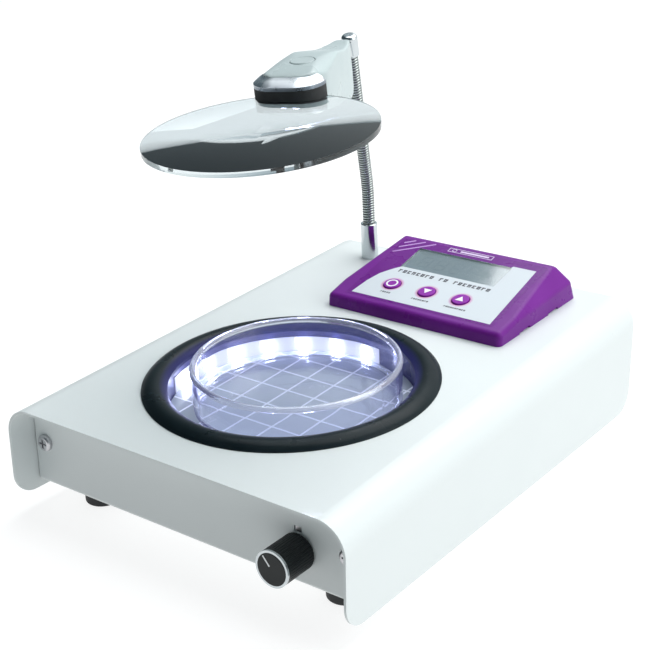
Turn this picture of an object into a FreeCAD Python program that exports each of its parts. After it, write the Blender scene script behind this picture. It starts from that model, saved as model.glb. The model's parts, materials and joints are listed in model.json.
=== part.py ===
"""Laboratory colony counter: lit well with a Petri dish, counting console, dimmer and gooseneck magnifier.

Millimetres, +Z up.  The origin is on the floor, under the middle of the whole object.  +Y points to the
back of the case, +X to the right as the user sees it.
"""
import FreeCAD, Part
import math
import os
from FreeCAD import Placement, Rotation, Vector

os.makedirs("parts", exist_ok=True)

# ---------------------------------------------------------------- driving dimensions
CASE_WIDTH = 195.0
CASE_DEPTH = 258.0
FRONT_HEIGHT = 48.6          # side flap height at the front edge of the cover
REAR_HEIGHT = 61.4
SHEET = 1.2                  # steel sheet of the cover and the tray
COVER_BEND = 14.0            # outer radius of the cover's long bends
FLAP_CORNER = 12.0
FLAP_LIFT = 8.0              # flap bottoms above the floor
FOOT_HEIGHT = 12.0
FOOT_X = 73.0
FOOT_INSET = 33.0
PANEL_INSET = 14.5           # the front panel sits this far inside the cover
REAR_INSET = 4.0
KNOB_OVERHANG = 4.5          # the knob stands this far out of the cover's front edge

WELL_X = -0.4
WELL_DISTANCE = 91.7         # well centre from the cover's front edge, along the deck
WELL_RADIUS = 60.0
WELL_HOLE_RADIUS = 64.0
WELL_FLANGE_RADIUS = 70.0
WELL_STUD_CIRCLE = 66.6
BEZEL_RADIUS = 71.0
BEZEL_BORE_RADIUS = 58.5
BEZEL_HEIGHT = 3.4
GRID_TOP = -13.0             # counting surface below the deck's top face
PLATE_THICKNESS = 2.0

DISH_RADIUS = 50.6           # over the beaded rim
DISH_HEIGHT = 21.8
DISH_WALL = 2.4
DISH_BEAD = 1.5              # half the rim bead's thickness
DISH_SHIFT = Vector(0.3, 3.85, 0)

CONSOLE_X = 13.5
CONSOLE_FRONT = 172.0
CONSOLE_REAR = 248.2
CONSOLE_HALF_FRONT = 52.5
CONSOLE_HALF_REAR = 54.8
CONSOLE_WALL = 2.0
SLOPE_START = Vector(0, 175.0, 7.2)      # front edge of the sloping face, deck frame
SLOPE_END = Vector(0, 238.5, 19.2)
OVERLAY = 0.1
KEY_RADIUS = 4.6
KEY_HOLE_RADIUS = 5.0
KEY_ROW = 17.6
KEY_X = {"reset_key": -24.0, "down_key": -2.5, "up_key": 18.0}

KNOB_X = 63.5
KNOB_Z = 28.5
KNOB_RADIUS = 8.4
KNOB_LENGTH = 18.0
SHAFT_RADIUS = 3.0

NECK_X = -59.5
NECK_DISTANCE = 241.3        # neck foot from the cover's front edge, along the deck
NECK_RADIUS = 3.5
FERRULE_RADIUS = 4.8
FERRULE_HEIGHT = 21.0
NECK_STRAIGHT = 34.0         # length of neck, from the deck, before it leans forward
NECK_ARC_RADIUS = 60.0
NECK_LEAN = 14.0
NECK_LENGTH = 133.0
NECK_JOINTS = (30.5, 50.0, 71.0, 94.0)   # lengths along the neck where it is taken to bend
BALL_GAP = 0.3

LENS_CENTRE = Vector(-12.7, -37.0, 178.4)
LENS_PITCH = 5.5             # the lens's far edge is tipped down by this angle
LENS_ROLL = 3.7              # and its right edge is tipped up by this one
LENS_RADIUS = 54.0
LENS_EDGE = 2.5
LENS_THICKNESS = 9.0

# ---------------------------------------------------------------- derived frames
Y_FRONT = -(CASE_DEPTH + KNOB_OVERHANG) / 2 + KNOB_OVERHANG
Y_REAR = Y_FRONT + CASE_DEPTH
HALF = CASE_WIDTH / 2
DECK_TILT = math.degrees(math.atan2(REAR_HEIGHT - FRONT_HEIGHT, CASE_DEPTH))
DECK = Placement(Vector(0, Y_FRONT, FLAP_LIFT + FRONT_HEIGHT), Rotation(Vector(1, 0, 0), DECK_TILT))
WELL = DECK.multiply(Placement(Vector(WELL_X, WELL_DISTANCE, 0), Rotation()))
SLOPE_ANGLE = math.degrees(math.atan2(SLOPE_END.z - SLOPE_START.z, SLOPE_END.y - SLOPE_START.y))
SLOPE = DECK.multiply(Placement(Vector(CONSOLE_X, 0, 0) + SLOPE_START,
                                Rotation(Vector(1, 0, 0), SLOPE_ANGLE)))
PANEL_Y = Y_FRONT + PANEL_INSET
REAR_PANEL_Y = Y_REAR - REAR_INSET
TRAY_FLOOR = FOOT_HEIGHT + SHEET

neck_foot = DECK.multVec(Vector(NECK_X, NECK_DISTANCE, 0))
deck_normal = DECK.Rotation.multVec(Vector(0, 0, 1))
forward = Vector(LENS_CENTRE.x - neck_foot.x, LENS_CENTRE.y - neck_foot.y, 0).normalize()
sideways = deck_normal.cross(forward).normalize()
NECK = Placement(neck_foot, Rotation(sideways.cross(deck_normal), sideways, deck_normal, "ZXY"))
left = forward.cross(Vector(0, 0, 1))
lens_axis = Vector(0, 0, 1) + forward * math.tan(math.radians(LENS_PITCH))
lens_axis = (lens_axis + left * math.tan(math.radians(LENS_ROLL))).normalize()
lens_side = lens_axis.cross(forward).normalize()
HEAD = Placement(LENS_CENTRE, Rotation(lens_side.cross(lens_axis), lens_side, lens_axis, "ZXY"))


# ---------------------------------------------------------------- helpers
def save(name, *solids):
    """Write one node: a single solid, or a group of separate ones."""
    shape = solids[0] if len(solids) == 1 else Part.makeCompound(list(solids))
    shape = shape.removeSplitter() if len(solids) == 1 else shape
    for solid in shape.Solids:
        if not solid.isValid():
            print("not valid:", name)
    if not shape.Solids:
        print("empty:", name)
    shape.exportStep("parts/%s.step" % name)


def put(shape, placement):
    """The shape moved from a local frame to the object's frame."""
    moved = shape.copy()
    moved.Placement = placement.multiply(moved.Placement)
    return moved


def block(x0, x1, y0, y1, z0, z1):
    return Part.makeBox(x1 - x0, y1 - y0, z1 - z0, Vector(x0, y0, z0))


def rod(radius, start, end):
    """Round bar between two points."""
    run = Vector(*end) - Vector(*start)
    return Part.makeCylinder(radius, run.Length, Vector(*start), run)


def tube(outer, inner, start, end):
    return rod(outer, start, end).cut(rod(inner, start, end))


def hexagon(across_flats, height, centre, axis):
    """Hexagonal prism from a centre point along an axis."""
    corner = across_flats / math.sqrt(3)
    points = [Vector(corner * math.cos(math.radians(60 * i)), corner * math.sin(math.radians(60 * i)), 0)
              for i in range(7)]
    prism = Part.Face(Part.makePolygon(points)).extrude(Vector(0, 0, height))
    return put(prism, Placement(Vector(*centre), Rotation(Vector(0, 0, 1), Vector(*axis))))


def nut(across_flats, bore, height, centre, axis):
    axis = Vector(*axis).normalize()
    end = Vector(*centre) + axis * height
    return hexagon(across_flats, height, centre, axis).cut(rod(bore, centre, end))


def pan_screw(shank, head, head_height, length, seat, axis):
    """Cross-recessed pan-head screw: the axis points from under the head to the tip."""
    body = rod(head, (0, 0, -head_height), (0, 0, 0))
    body = body.makeFillet(head_height * 0.6, [min(body.Edges, key=lambda e: e.CenterOfMass.z)])
    slot = block(-head * 0.55, head * 0.55, -0.45, 0.45, -head_height - 1, -head_height * 0.45)
    cross = slot.fuse(slot.rotated(Vector(), Vector(0, 0, 1), 90))
    body = body.cut(cross).fuse(rod(shank, (0, 0, -0.2), (0, 0, length)))
    return put(body.removeSplitter(), Placement(Vector(*seat), Rotation(Vector(0, 0, 1), Vector(*axis))))


def prism_x(points, x0, x1):
    """Prism along X of an outline given as (y, z) points."""
    outline = [Vector(x0, y, z) for y, z in points]
    return Part.Face(Part.makePolygon(outline + outline[:1])).extrude(Vector(x1 - x0, 0, 0))


def prism_y(points, y0, y1):
    """Prism along Y of an outline given as (x, z) points."""
    outline = [Vector(x, y0, z) for x, z in points]
    return Part.Face(Part.makePolygon(outline + outline[:1])).extrude(Vector(0, y1 - y0, 0))


def edges_along(shape, axis, test):
    """Straight edges that run along an axis and whose middle passes a test."""
    found = []
    for edge in shape.Edges:
        if len(edge.Vertexes) == 2 and isinstance(edge.Curve, Part.Line):
            run = (edge.Vertexes[1].Point - edge.Vertexes[0].Point).normalize()
            if abs(run.dot(Vector(*axis))) > 0.999 and test(edge.CenterOfMass):
                found.append(edge)
    return found


def half_space(point, normal, reach=200.0):
    """A large block on the normal's side of a plane."""
    cutter = block(-reach, reach, -reach, reach, 0, reach)
    return put(cutter, Placement(point, Rotation(Vector(0, 0, 1), normal)))


def swept_tube(radius, route):
    """Tube along straight runs joined by arcs as large as the runs allow."""
    edges = []
    last = route[0]
    for before, corner, after in zip(route, route[1:], route[2:]):
        to_before = (before - corner)
        to_after = (after - corner)
        half_turn = (math.pi - to_before.getAngle(to_after)) / 2
        trim = 0.45 * min(to_before.Length, to_after.Length)
        bend = trim / math.tan(half_turn)
        start = corner + to_before.normalize() * trim
        end = corner + to_after.normalize() * trim
        inward = (to_before + to_after).normalize()
        middle = corner + inward * (bend / math.cos(half_turn) - bend)
        edges.append(Part.makeLine(last, start))
        edges.append(Part.Arc(start, middle, end).toShape())
        last = end
    edges.append(Part.makeLine(last, route[-1]))
    path = Part.Wire(edges)
    circle = Part.Wire([Part.makeCircle(radius, route[0], route[1] - route[0])])
    return path.makePipeShell([circle], True, False)


# ---------------------------------------------------------------- case
def cover_prism(gap, low):
    """Space under the cover's bent sheet, offset inwards by a gap, in the deck frame."""
    half = HALF - gap
    body = block(-half, half, -30, CASE_DEPTH + 30, low, -gap)
    top_edges = edges_along(body, (0, 1, 0), lambda c: c.z > low + 1)
    return put(body.makeFillet(COVER_BEND - gap, top_edges), DECK)


def well_cutter(radius, top, bottom, shift=Vector()):
    return put(rod(radius, (0, 0, bottom), (0, 0, top)), WELL.multiply(Placement(shift, Rotation())))


def stud_points():
    angles = [math.radians(45 + 90 * i) for i in range(4)]
    return [Vector(WELL_STUD_CIRCLE * math.cos(a), WELL_STUD_CIRCLE * math.sin(a), 0) for a in angles]


CONSOLE_SCREWS = [Vector(x, v, 0) for v in (180.5, 235.5) for x in (CONSOLE_X - 45.5, CONSOLE_X + 45.5)]
CONSOLE_CABLE = Vector(CONSOLE_X, 222, 0)


def make_top_cover():
    cover = cover_prism(0, -90).cut(cover_prism(SHEET, -95))
    side = block(-HALF - 5, HALF + 5, Y_FRONT, Y_REAR, FLAP_LIFT, 120)
    corners = edges_along(side, (1, 0, 0), lambda c: c.z < FLAP_LIFT + 1)
    cover = cover.common(side.makeFillet(FLAP_CORNER, corners))
    cover = cover.cut(well_cutter(WELL_HOLE_RADIUS, 5, -5))
    for point in stud_points():
        stud = put(rod(1.5, (point.x, point.y, -9), (point.x, point.y, -0.6)), WELL)
        cover = cover.fuse(stud)
    for point in CONSOLE_SCREWS:
        cover = cover.cut(put(rod(1.7, (point.x, point.y, -3), (point.x, point.y, 1)), DECK))
    cover = cover.cut(put(rod(4, (CONSOLE_X, CONSOLE_CABLE.y, -3), (CONSOLE_X, CONSOLE_CABLE.y, 1)), DECK))
    cover = cover.cut(put(rod(3.6, (0, 0, -3), (0, 0, 1)), NECK))
    save("top_cover", cover)


SCREW_X = 88.8
SCREW_Z = 34.0
FEET = [(x, y) for x in (-FOOT_X, FOOT_X) for y in (Y_FRONT + FOOT_INSET, Y_REAR - FOOT_INSET)]
PANEL_ENDS = [(PANEL_Y, 1), (REAR_PANEL_Y, -1)]      # outer face and the way into the case
JACK_X = -62.0
JACK_Z = 30.0
TAB_Z = KNOB_Z + 9.3
BOARD = (-42.0, 38.0, 42.0, 96.0)                    # x and y extent of the control board
BOARD_Z = TRAY_FLOOR + 8.0
BOARD_HOLES = [(x, y) for x in (BOARD[0] + 4, BOARD[1] - 4) for y in (BOARD[2] + 4, BOARD[3] - 4)]


def make_chassis_tray():
    gap = SHEET + 0.6
    outer = block(-HALF + gap, HALF - gap, PANEL_Y, REAR_PANEL_Y, FOOT_HEIGHT, 90)
    outer = outer.makeFillet(2.0, edges_along(outer, (1, 0, 0), lambda c: c.z < FOOT_HEIGHT + 1))
    inner = block(-HALF, HALF, PANEL_Y + SHEET, REAR_PANEL_Y - SHEET, TRAY_FLOOR, 95)
    inner = inner.makeFillet(0.8, edges_along(inner, (1, 0, 0), lambda c: c.z < TRAY_FLOOR + 1))
    tray = outer.cut(inner).common(cover_prism(gap, -95))
    for x, y in FEET:
        tray = tray.cut(rod(2.2, (x, y, FOOT_HEIGHT - 2), (x, y, TRAY_FLOOR + 2)))
    for x, y in BOARD_HOLES:
        tray = tray.cut(rod(1.6, (x, y, FOOT_HEIGHT - 2), (x, y, TRAY_FLOOR + 2)))
    for x in (-SCREW_X, SCREW_X):
        for y, _ in PANEL_ENDS:
            tray = tray.cut(rod(2.2, (x, y - 3, SCREW_Z), (x, y + 3, SCREW_Z)))
    tray = tray.cut(rod(3.6, (KNOB_X, PANEL_Y - 2, KNOB_Z), (KNOB_X, PANEL_Y + 3, KNOB_Z)))
    tray = tray.cut(block(KNOB_X - 3, KNOB_X + 1, PANEL_Y - 2, PANEL_Y + 3, TAB_Z - 1.5, TAB_Z + 1.5))
    tray = tray.cut(rod(4.1, (JACK_X, REAR_PANEL_Y - 3, JACK_Z), (JACK_X, REAR_PANEL_Y + 2, JACK_Z)))
    save("chassis_tray", tray)


def make_cover_fixings():
    brackets = []
    screws = []
    for side in (-1, 1):
        for face, inward in PANEL_ENDS:
            behind = face + inward * SHEET
            wall = HALF - SHEET
            leg_y = sorted((behind, behind + inward * 1.5))
            flange_y = sorted((behind + inward * 1.5, behind + inward * 15))
            leg_x = sorted((side * 82, side * wall))
            flange_x = sorted((side * (wall - 1.5), side * wall))
            leg = block(*leg_x, *leg_y, SCREW_Z - 8, SCREW_Z + 8)
            flange = block(*flange_x, *flange_y, SCREW_Z - 8, SCREW_Z + 8)
            hole = rod(2.05, (side * SCREW_X, behind - 3, SCREW_Z), (side * SCREW_X, behind + 3, SCREW_Z))
            brackets.append(leg.fuse(flange).cut(hole).removeSplitter())
            screws.append(pan_screw(2.0, 4.2, 2.4, 8, (side * SCREW_X, face, SCREW_Z), (0, inward, 0)))
    save("cover_brackets", *brackets)
    save("cover_screws", *screws)


def make_feet():
    feet = []
    screws = []
    nuts = []
    recess = 5.0
    for x, y in FEET:
        foot = Part.makeCone(8.4, 9.0, FOOT_HEIGHT, Vector(x, y, 0))
        foot = foot.makeFillet(1.2, [e for e in foot.Edges if abs(e.CenterOfMass.z) < 0.01])
        foot = foot.cut(rod(4.4, (x, y, -1), (x, y, recess)))
        feet.append(foot.cut(rod(2.1, (x, y, 0), (x, y, FOOT_HEIGHT + 1))))
        screws.append(pan_screw(2.0, 3.8, 2.4, 12, (x, y, recess), (0, 0, 1)))
        nuts.append(nut(7.0, 2.05, 3.2, (x, y, TRAY_FLOOR), (0, 0, 1)))
    save("rubber_feet", *feet)
    save("foot_screws", *screws)
    save("foot_nuts", *nuts)


# ---------------------------------------------------------------- lit well
def make_well():
    flange = tube(WELL_FLANGE_RADIUS, WELL_RADIUS, (0, 0, -SHEET - 1.5), (0, 0, -SHEET))
    wall = tube(WELL_RADIUS + 1.5, WELL_RADIUS, (0, 0, GRID_TOP - 5.0), (0, 0, -SHEET))
    floor = rod(WELL_RADIUS + 1.5, (0, 0, GRID_TOP - 5.0), (0, 0, GRID_TOP - 3.5))
    cup = flange.fuse(wall).fuse(floor)
    for point in stud_points():
        cup = cup.cut(rod(1.7, (point.x, point.y, -6), (point.x, point.y, 0)))
    cup = cup.cut(rod(2.0, (WELL_RADIUS - 4, 0, GRID_TOP - 6), (WELL_RADIUS - 4, 0, GRID_TOP)))
    save("light_well", put(cup.removeSplitter(), WELL))
    nuts = []
    for point in stud_points():
        nuts.append(put(nut(5.5, 1.55, 2.4, (point.x, point.y, -SHEET - 1.5), (0, 0, -1)), WELL))
    save("well_nuts", *nuts)
    disc = rod(WELL_RADIUS - 0.4, (0, 0, GRID_TOP - 3.5), (0, 0, GRID_TOP - PLATE_THICKNESS))
    save("background_disc", put(disc, WELL))
    plate = rod(WELL_RADIUS - 0.4, (0, 0, GRID_TOP - PLATE_THICKNESS), (0, 0, GRID_TOP))
    save("grid_plate", put(plate, WELL))


def make_bezel():
    """Round black ring with a domed top and a spigot that centres it in the deck's hole."""
    outer = Vector(BEZEL_RADIUS, 0, 0)
    rim = Vector(BEZEL_RADIUS, 0, 0.5)
    crest = Vector((BEZEL_RADIUS + BEZEL_BORE_RADIUS) / 2, 0, BEZEL_HEIGHT)
    lip = Vector(BEZEL_BORE_RADIUS, 0, 0.4)
    foot_in = Vector(BEZEL_BORE_RADIUS, 0, -SHEET)
    spigot = Vector(WELL_HOLE_RADIUS - 0.2, 0, -SHEET)
    shoulder = Vector(WELL_HOLE_RADIUS - 0.2, 0, 0)
    edges = [
        Part.makeLine(outer, rim),
        Part.Arc(rim, crest, lip).toShape(),
        Part.makeLine(lip, foot_in),
        Part.makeLine(foot_in, spigot),
        Part.makeLine(spigot, shoulder),
        Part.makeLine(shoulder, outer)]
    ring = Part.Face(Part.Wire(edges)).revolve(Vector(), Vector(0, 0, 1), 360)
    save("bezel_ring", put(ring, WELL))


LED_COUNT = 7
STRIP_START = 79.0           # angles between which the strip runs round the back and left of the wall
STRIP_END = 201.0
STRIP_THICKNESS = 0.4


def make_led_strip():
    face = WELL_RADIUS - 0.05 - STRIP_THICKNESS
    low, high = GRID_TOP + 0.05, GRID_TOP + 8.0
    section = block(face, face + STRIP_THICKNESS, 0, 0.001, low, high)
    section = min(section.Faces, key=lambda f: f.CenterOfMass.y)
    band = section.revolve(Vector(), Vector(0, 0, 1), STRIP_END - STRIP_START)
    save("led_strip", put(band.rotated(Vector(), Vector(0, 0, 1), STRIP_START), WELL))
    chips = []
    for i in range(LED_COUNT):
        angle = STRIP_START + (i + 0.5) * (STRIP_END - STRIP_START) / LED_COUNT
        chip = block(face - 1.65, face - 0.06, -2.5, 2.5, GRID_TOP + 1.6, GRID_TOP + 6.6)
        chips.append(put(chip.rotated(Vector(), Vector(0, 0, 1), angle), WELL))
    save("led_chips", *chips)


def make_petri_dish():
    """Loose glass dish with rounded corners and a beaded rim."""
    base = GRID_TOP + 0.1
    top = base + DISH_HEIGHT
    floor = base + 2.2
    wall_out = DISH_RADIUS - 0.4
    wall_in = wall_out - DISH_WALL
    bead_in = DISH_RADIUS - 2 * DISH_BEAD
    bend = math.sqrt(0.5)

    def at(r, z):
        return Vector(r, 0, z)

    edges = [
        Part.makeLine(at(0, base), at(wall_out - 2, base)),
        Part.Arc(at(wall_out - 2, base), at(wall_out - 2 + 2 * bend, base + 2 - 2 * bend),
                 at(wall_out, base + 2)).toShape(),
        Part.makeLine(at(wall_out, base + 2), at(wall_out, top - 2.6)),
        Part.makeLine(at(wall_out, top - 2.6), at(DISH_RADIUS, top - 1.9)),
        Part.makeLine(at(DISH_RADIUS, top - 1.9), at(DISH_RADIUS, top - DISH_BEAD)),
        Part.Arc(at(DISH_RADIUS, top - DISH_BEAD), at(DISH_RADIUS - DISH_BEAD, top),
                 at(bead_in, top - DISH_BEAD)).toShape(),
        Part.makeLine(at(bead_in, top - DISH_BEAD), at(bead_in, top - 1.9)),
        Part.makeLine(at(bead_in, top - 1.9), at(wall_in, top - 2.6)),
        Part.makeLine(at(wall_in, top - 2.6), at(wall_in, floor + 1.5)),
        Part.Arc(at(wall_in, floor + 1.5), at(wall_in - 1.5 + 1.5 * bend, floor + 1.5 - 1.5 * bend),
                 at(wall_in - 1.5, floor)).toShape(),
        Part.makeLine(at(wall_in - 1.5, floor), at(0, floor)),
        Part.makeLine(at(0, floor), at(0, base))]
    dish = Part.Face(Part.Wire(edges)).revolve(Vector(), Vector(0, 0, 1), 360)
    save("petri_dish", put(dish, WELL.multiply(Placement(DISH_SHIFT, Rotation()))))


# ---------------------------------------------------------------- counting console
CONSOLE_FRAME = DECK.multiply(Placement(Vector(CONSOLE_X, 0, 0), Rotation()))
WINDOW = (-30.0, 27.0, 35.0, 55.0)       # lcd window on the sloping face: x and distance up the slope
OVERLAY_EXTENT = (-44.0, 45.0, 2.0, 62.0)
KEYBOARD_TOP = -5.4
EDGE_ROUND = 3.0             # rounding of the console's outer edges


def console_half(y):
    """Half the console's width at a distance up the deck; it widens slightly to the rear."""
    share = (y - CONSOLE_FRONT) / (CONSOLE_REAR - CONSOLE_FRONT)
    return CONSOLE_HALF_FRONT + share * (CONSOLE_HALF_REAR - CONSOLE_HALF_FRONT)


def console_solid(inset, bottom):
    """The console's wedge, every face moved inwards by the inset, in the console's frame."""
    outline = [(CONSOLE_FRONT, bottom), (CONSOLE_FRONT + 0.8, SLOPE_START.z - 0.42),
               (SLOPE_END.y, SLOPE_END.z), (SLOPE_END.y + 3, SLOPE_END.z - 1.8), (CONSOLE_REAR, bottom)]
    half = CONSOLE_HALF_REAR + 1.0
    points = [Vector(-half, y, z) for y, z in outline]
    face = Part.Face(Part.makePolygon(points + points[:1]))
    if inset:
        face = face.makeOffset2D(-inset)
    wedge = face.extrude(Vector(2 * half, 0, 0))
    for side in (-1, 1):
        ridge_rear = Vector(side * 46, SLOPE_END.y, SLOPE_END.z)
        corner_rear = Vector(side * 54, CONSOLE_REAR - 2, 11)
        corner_front = Vector(side * 53, CONSOLE_FRONT + 1, 6.8)
        normal = (corner_rear - ridge_rear).cross(corner_front - ridge_rear).normalize()
        normal = normal if normal.z > 0 else -normal
        wedge = wedge.cut(half_space(ridge_rear - normal * inset, normal))
        side_rear = Vector(side * CONSOLE_HALF_REAR, CONSOLE_REAR, 0)
        side_front = Vector(side * CONSOLE_HALF_FRONT, CONSOLE_FRONT, 0)
        normal = (side_rear - side_front).cross(Vector(0, 0, side)).normalize()
        wedge = wedge.cut(half_space(side_front - normal * inset, normal))
    return wedge


def on_slope(shape):
    return put(shape, SLOPE)


def make_console_cover():
    outer = console_solid(0, 0)
    outer = outer.makeFillet(EDGE_ROUND, [e for e in outer.Edges if e.CenterOfMass.z > 0.5])
    cavity = console_solid(CONSOLE_WALL, -6)
    cover = outer.cut(cavity)
    for point in CONSOLE_SCREWS:
        x = point.x - CONSOLE_X
        boss = rod(3.2, (x, point.y, 1.6), (x, point.y, 30)).common(console_solid(1.0, 0))
        cover = cover.fuse(boss).cut(rod(1.5, (x, point.y, -1), (x, point.y, 5.2)))
    for side in (-1, 1):
        for y in (196.0, 224.0):
            x_range = sorted((side * (console_half(y) - 1.0), side * (console_half(y) + 2)))
            cover = cover.cut(block(*x_range, y - 5, y + 5, -1, 1.4))
    cover = put(cover.removeSplitter(), CONSOLE_FRAME)
    x0, x1, u0, u1 = WINDOW
    cover = cover.cut(on_slope(block(x0 - 0.1, x1 + 0.1, u0 - 0.1, u1 + 0.1, -6, 3)))
    for x in KEY_X.values():
        cover = cover.cut(on_slope(rod(KEY_HOLE_RADIUS, (x, KEY_ROW, -6), (x, KEY_ROW, 3))))
    save("console_cover", cover)


def make_console_base():
    low, high = CONSOLE_FRONT + 2.8, CONSOLE_REAR - 4.8
    front, rear = (console_half(y) - CONSOLE_WALL - 0.3 for y in (low, high))
    corners = [Vector(-front, low, 0), Vector(front, low, 0), Vector(rear, high, 0), Vector(-rear, high, 0)]
    base = Part.Face(Part.makePolygon(corners + corners[:1])).extrude(Vector(0, 0, 1.5))
    for point in CONSOLE_SCREWS:
        base = base.cut(rod(1.7, (point.x - CONSOLE_X, point.y, -1), (point.x - CONSOLE_X, point.y, 3)))
    base = base.cut(rod(4, (0, CONSOLE_CABLE.y, -1), (0, CONSOLE_CABLE.y, 3)))
    save("console_base", put(base, CONSOLE_FRAME))
    screws = []
    for point in CONSOLE_SCREWS:
        screws.append(put(pan_screw(1.45, 2.8, 1.8, 6, (point.x, point.y, -SHEET), (0, 0, 1)), DECK))
    save("console_screws", *screws)


def make_overlay_and_display():
    x0, x1, u0, u1 = OVERLAY_EXTENT
    sheet = block(x0, x1, u0, u1, 0, OVERLAY)
    sheet = sheet.makeFillet(2.0, edges_along(sheet, (0, 0, 1), lambda c: True))
    a0, a1, b0, b1 = WINDOW
    sheet = sheet.cut(block(a0 - 0.1, a1 + 0.1, b0 - 0.1, b1 + 0.1, -1, 1))
    for x in KEY_X.values():
        sheet = sheet.cut(rod(KEY_HOLE_RADIUS, (x, KEY_ROW, -1), (x, KEY_ROW, 1)))
    save("console_overlay", on_slope(sheet))
    save("lcd_window", on_slope(block(a0, a1, b0, b1, -CONSOLE_WALL, OVERLAY)))
    module = block(a0 - 3, a1 + 3, b0 - 3, b1 + 3, KEYBOARD_TOP, -CONSOLE_WALL - 0.02)
    save("lcd_module", on_slope(module))


def make_keys():
    """Three key caps, their switches and the board that carries switches and display."""
    travel_room = 0.6
    skirt = -CONSOLE_WALL - 0.2
    bottom = skirt - 0.9
    switches = []
    for name, x in KEY_X.items():
        cap = rod(KEY_RADIUS, (x, KEY_ROW, bottom), (x, KEY_ROW, OVERLAY + 0.8))
        cap = cap.makeFillet(0.5, [e for e in cap.Edges if e.CenterOfMass.z > OVERLAY])
        cap = cap.fuse(rod(6.0, (x, KEY_ROW, bottom), (x, KEY_ROW, skirt)))
        save(name, on_slope(cap.removeSplitter()))
        body = block(x - 3, x + 3, KEY_ROW - 3, KEY_ROW + 3, KEYBOARD_TOP, KEYBOARD_TOP + 1.1)
        plunger = rod(1.6, (x, KEY_ROW, KEYBOARD_TOP + 1), (x, KEY_ROW, bottom - travel_room))
        switches.append(on_slope(body.fuse(plunger)))
    save("tact_switches", *switches)
    board = block(-40, 40, 11, 60, KEYBOARD_TOP - 1.0, KEYBOARD_TOP)
    save("keypad_board", on_slope(board))


# ---------------------------------------------------------------- dimmer
def make_dimmer():
    inner = PANEL_Y + SHEET
    def at(y):
        return (KNOB_X, y, KNOB_Z)
    can = rod(8.25, at(inner), at(inner + 9))
    bush = rod(3.5, at(PANEL_Y - 5), at(inner + 1))
    ear = block(KNOB_X - 3, KNOB_X + 1, inner, inner + 1, KNOB_Z, TAB_Z + 1.4)
    tab = block(KNOB_X - 2.4, KNOB_X + 0.4, PANEL_Y + 0.4, inner + 0.5, TAB_Z - 1.1, TAB_Z + 1.1)
    lugs = [block(KNOB_X + dx - 0.6, KNOB_X + dx + 0.6, inner + 3, inner + 4, KNOB_Z - 14, KNOB_Z - 6)
            for dx in (-5, 0, 5)]
    body = can.fuse([bush, ear, tab] + lugs).cut(rod(SHAFT_RADIUS + 0.05, at(PANEL_Y - 6), at(inner + 5)))
    save("potentiometer", body.removeSplitter())
    save("dimmer_washer", tube(6.0, 3.6, at(PANEL_Y), at(PANEL_Y - 0.6)))
    save("dimmer_nut", nut(10.0, 3.55, 2.0, at(PANEL_Y - 0.6), (0, -1, 0)))
    rear = PANEL_Y - 1.0
    front = rear - KNOB_LENGTH
    save("dimmer_shaft", rod(SHAFT_RADIUS, at(inner + 4.7), at(rear - 14)))
    ribs = 40
    grip = rod(KNOB_RADIUS, at(front + 1.2), at(rear))
    grip = grip.makeChamfer(0.4, [e for e in grip.Edges if e.CenterOfMass.y > rear - 0.01 and e.Length > 40])
    for i in range(ribs):
        angle = math.radians(360.0 / ribs * i)
        groove_x = KNOB_X + (KNOB_RADIUS + 0.25) * math.cos(angle)
        groove_z = KNOB_Z + (KNOB_RADIUS + 0.25) * math.sin(angle)
        grip = grip.cut(rod(0.45, (groove_x, front + 2.6, groove_z), (groove_x, rear + 1, groove_z)))
    nose = rod(KNOB_RADIUS - 1.0, at(front), at(front + 1.4))
    nose = nose.makeFillet(0.4, [e for e in nose.Edges if e.CenterOfMass.y < front + 0.01])
    knob = grip.fuse(nose).cut(rod(6.6, at(rear - 5), at(rear + 1)))
    knob = knob.cut(rod(SHAFT_RADIUS + 0.02, at(rear - 14.2), at(rear)))
    pointer = pointer_bar(front)
    save("dimmer_knob", knob.cut(pointer))
    ring = tube(KNOB_RADIUS, KNOB_RADIUS - 1.0, at(front + 0.2), at(front + 1.2))
    save("knob_ring", ring)
    save("knob_pointer", pointer)


def pointer_bar(front):
    """White line let into the knob's face, pointing up and to the left at rest."""
    bar = block(-0.4, 0.4, front, front + 0.5, 1.5, KNOB_RADIUS - 1.6)
    return put(bar, Placement(Vector(KNOB_X, 0, KNOB_Z), Rotation(Vector(0, 1, 0), -40)))


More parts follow.
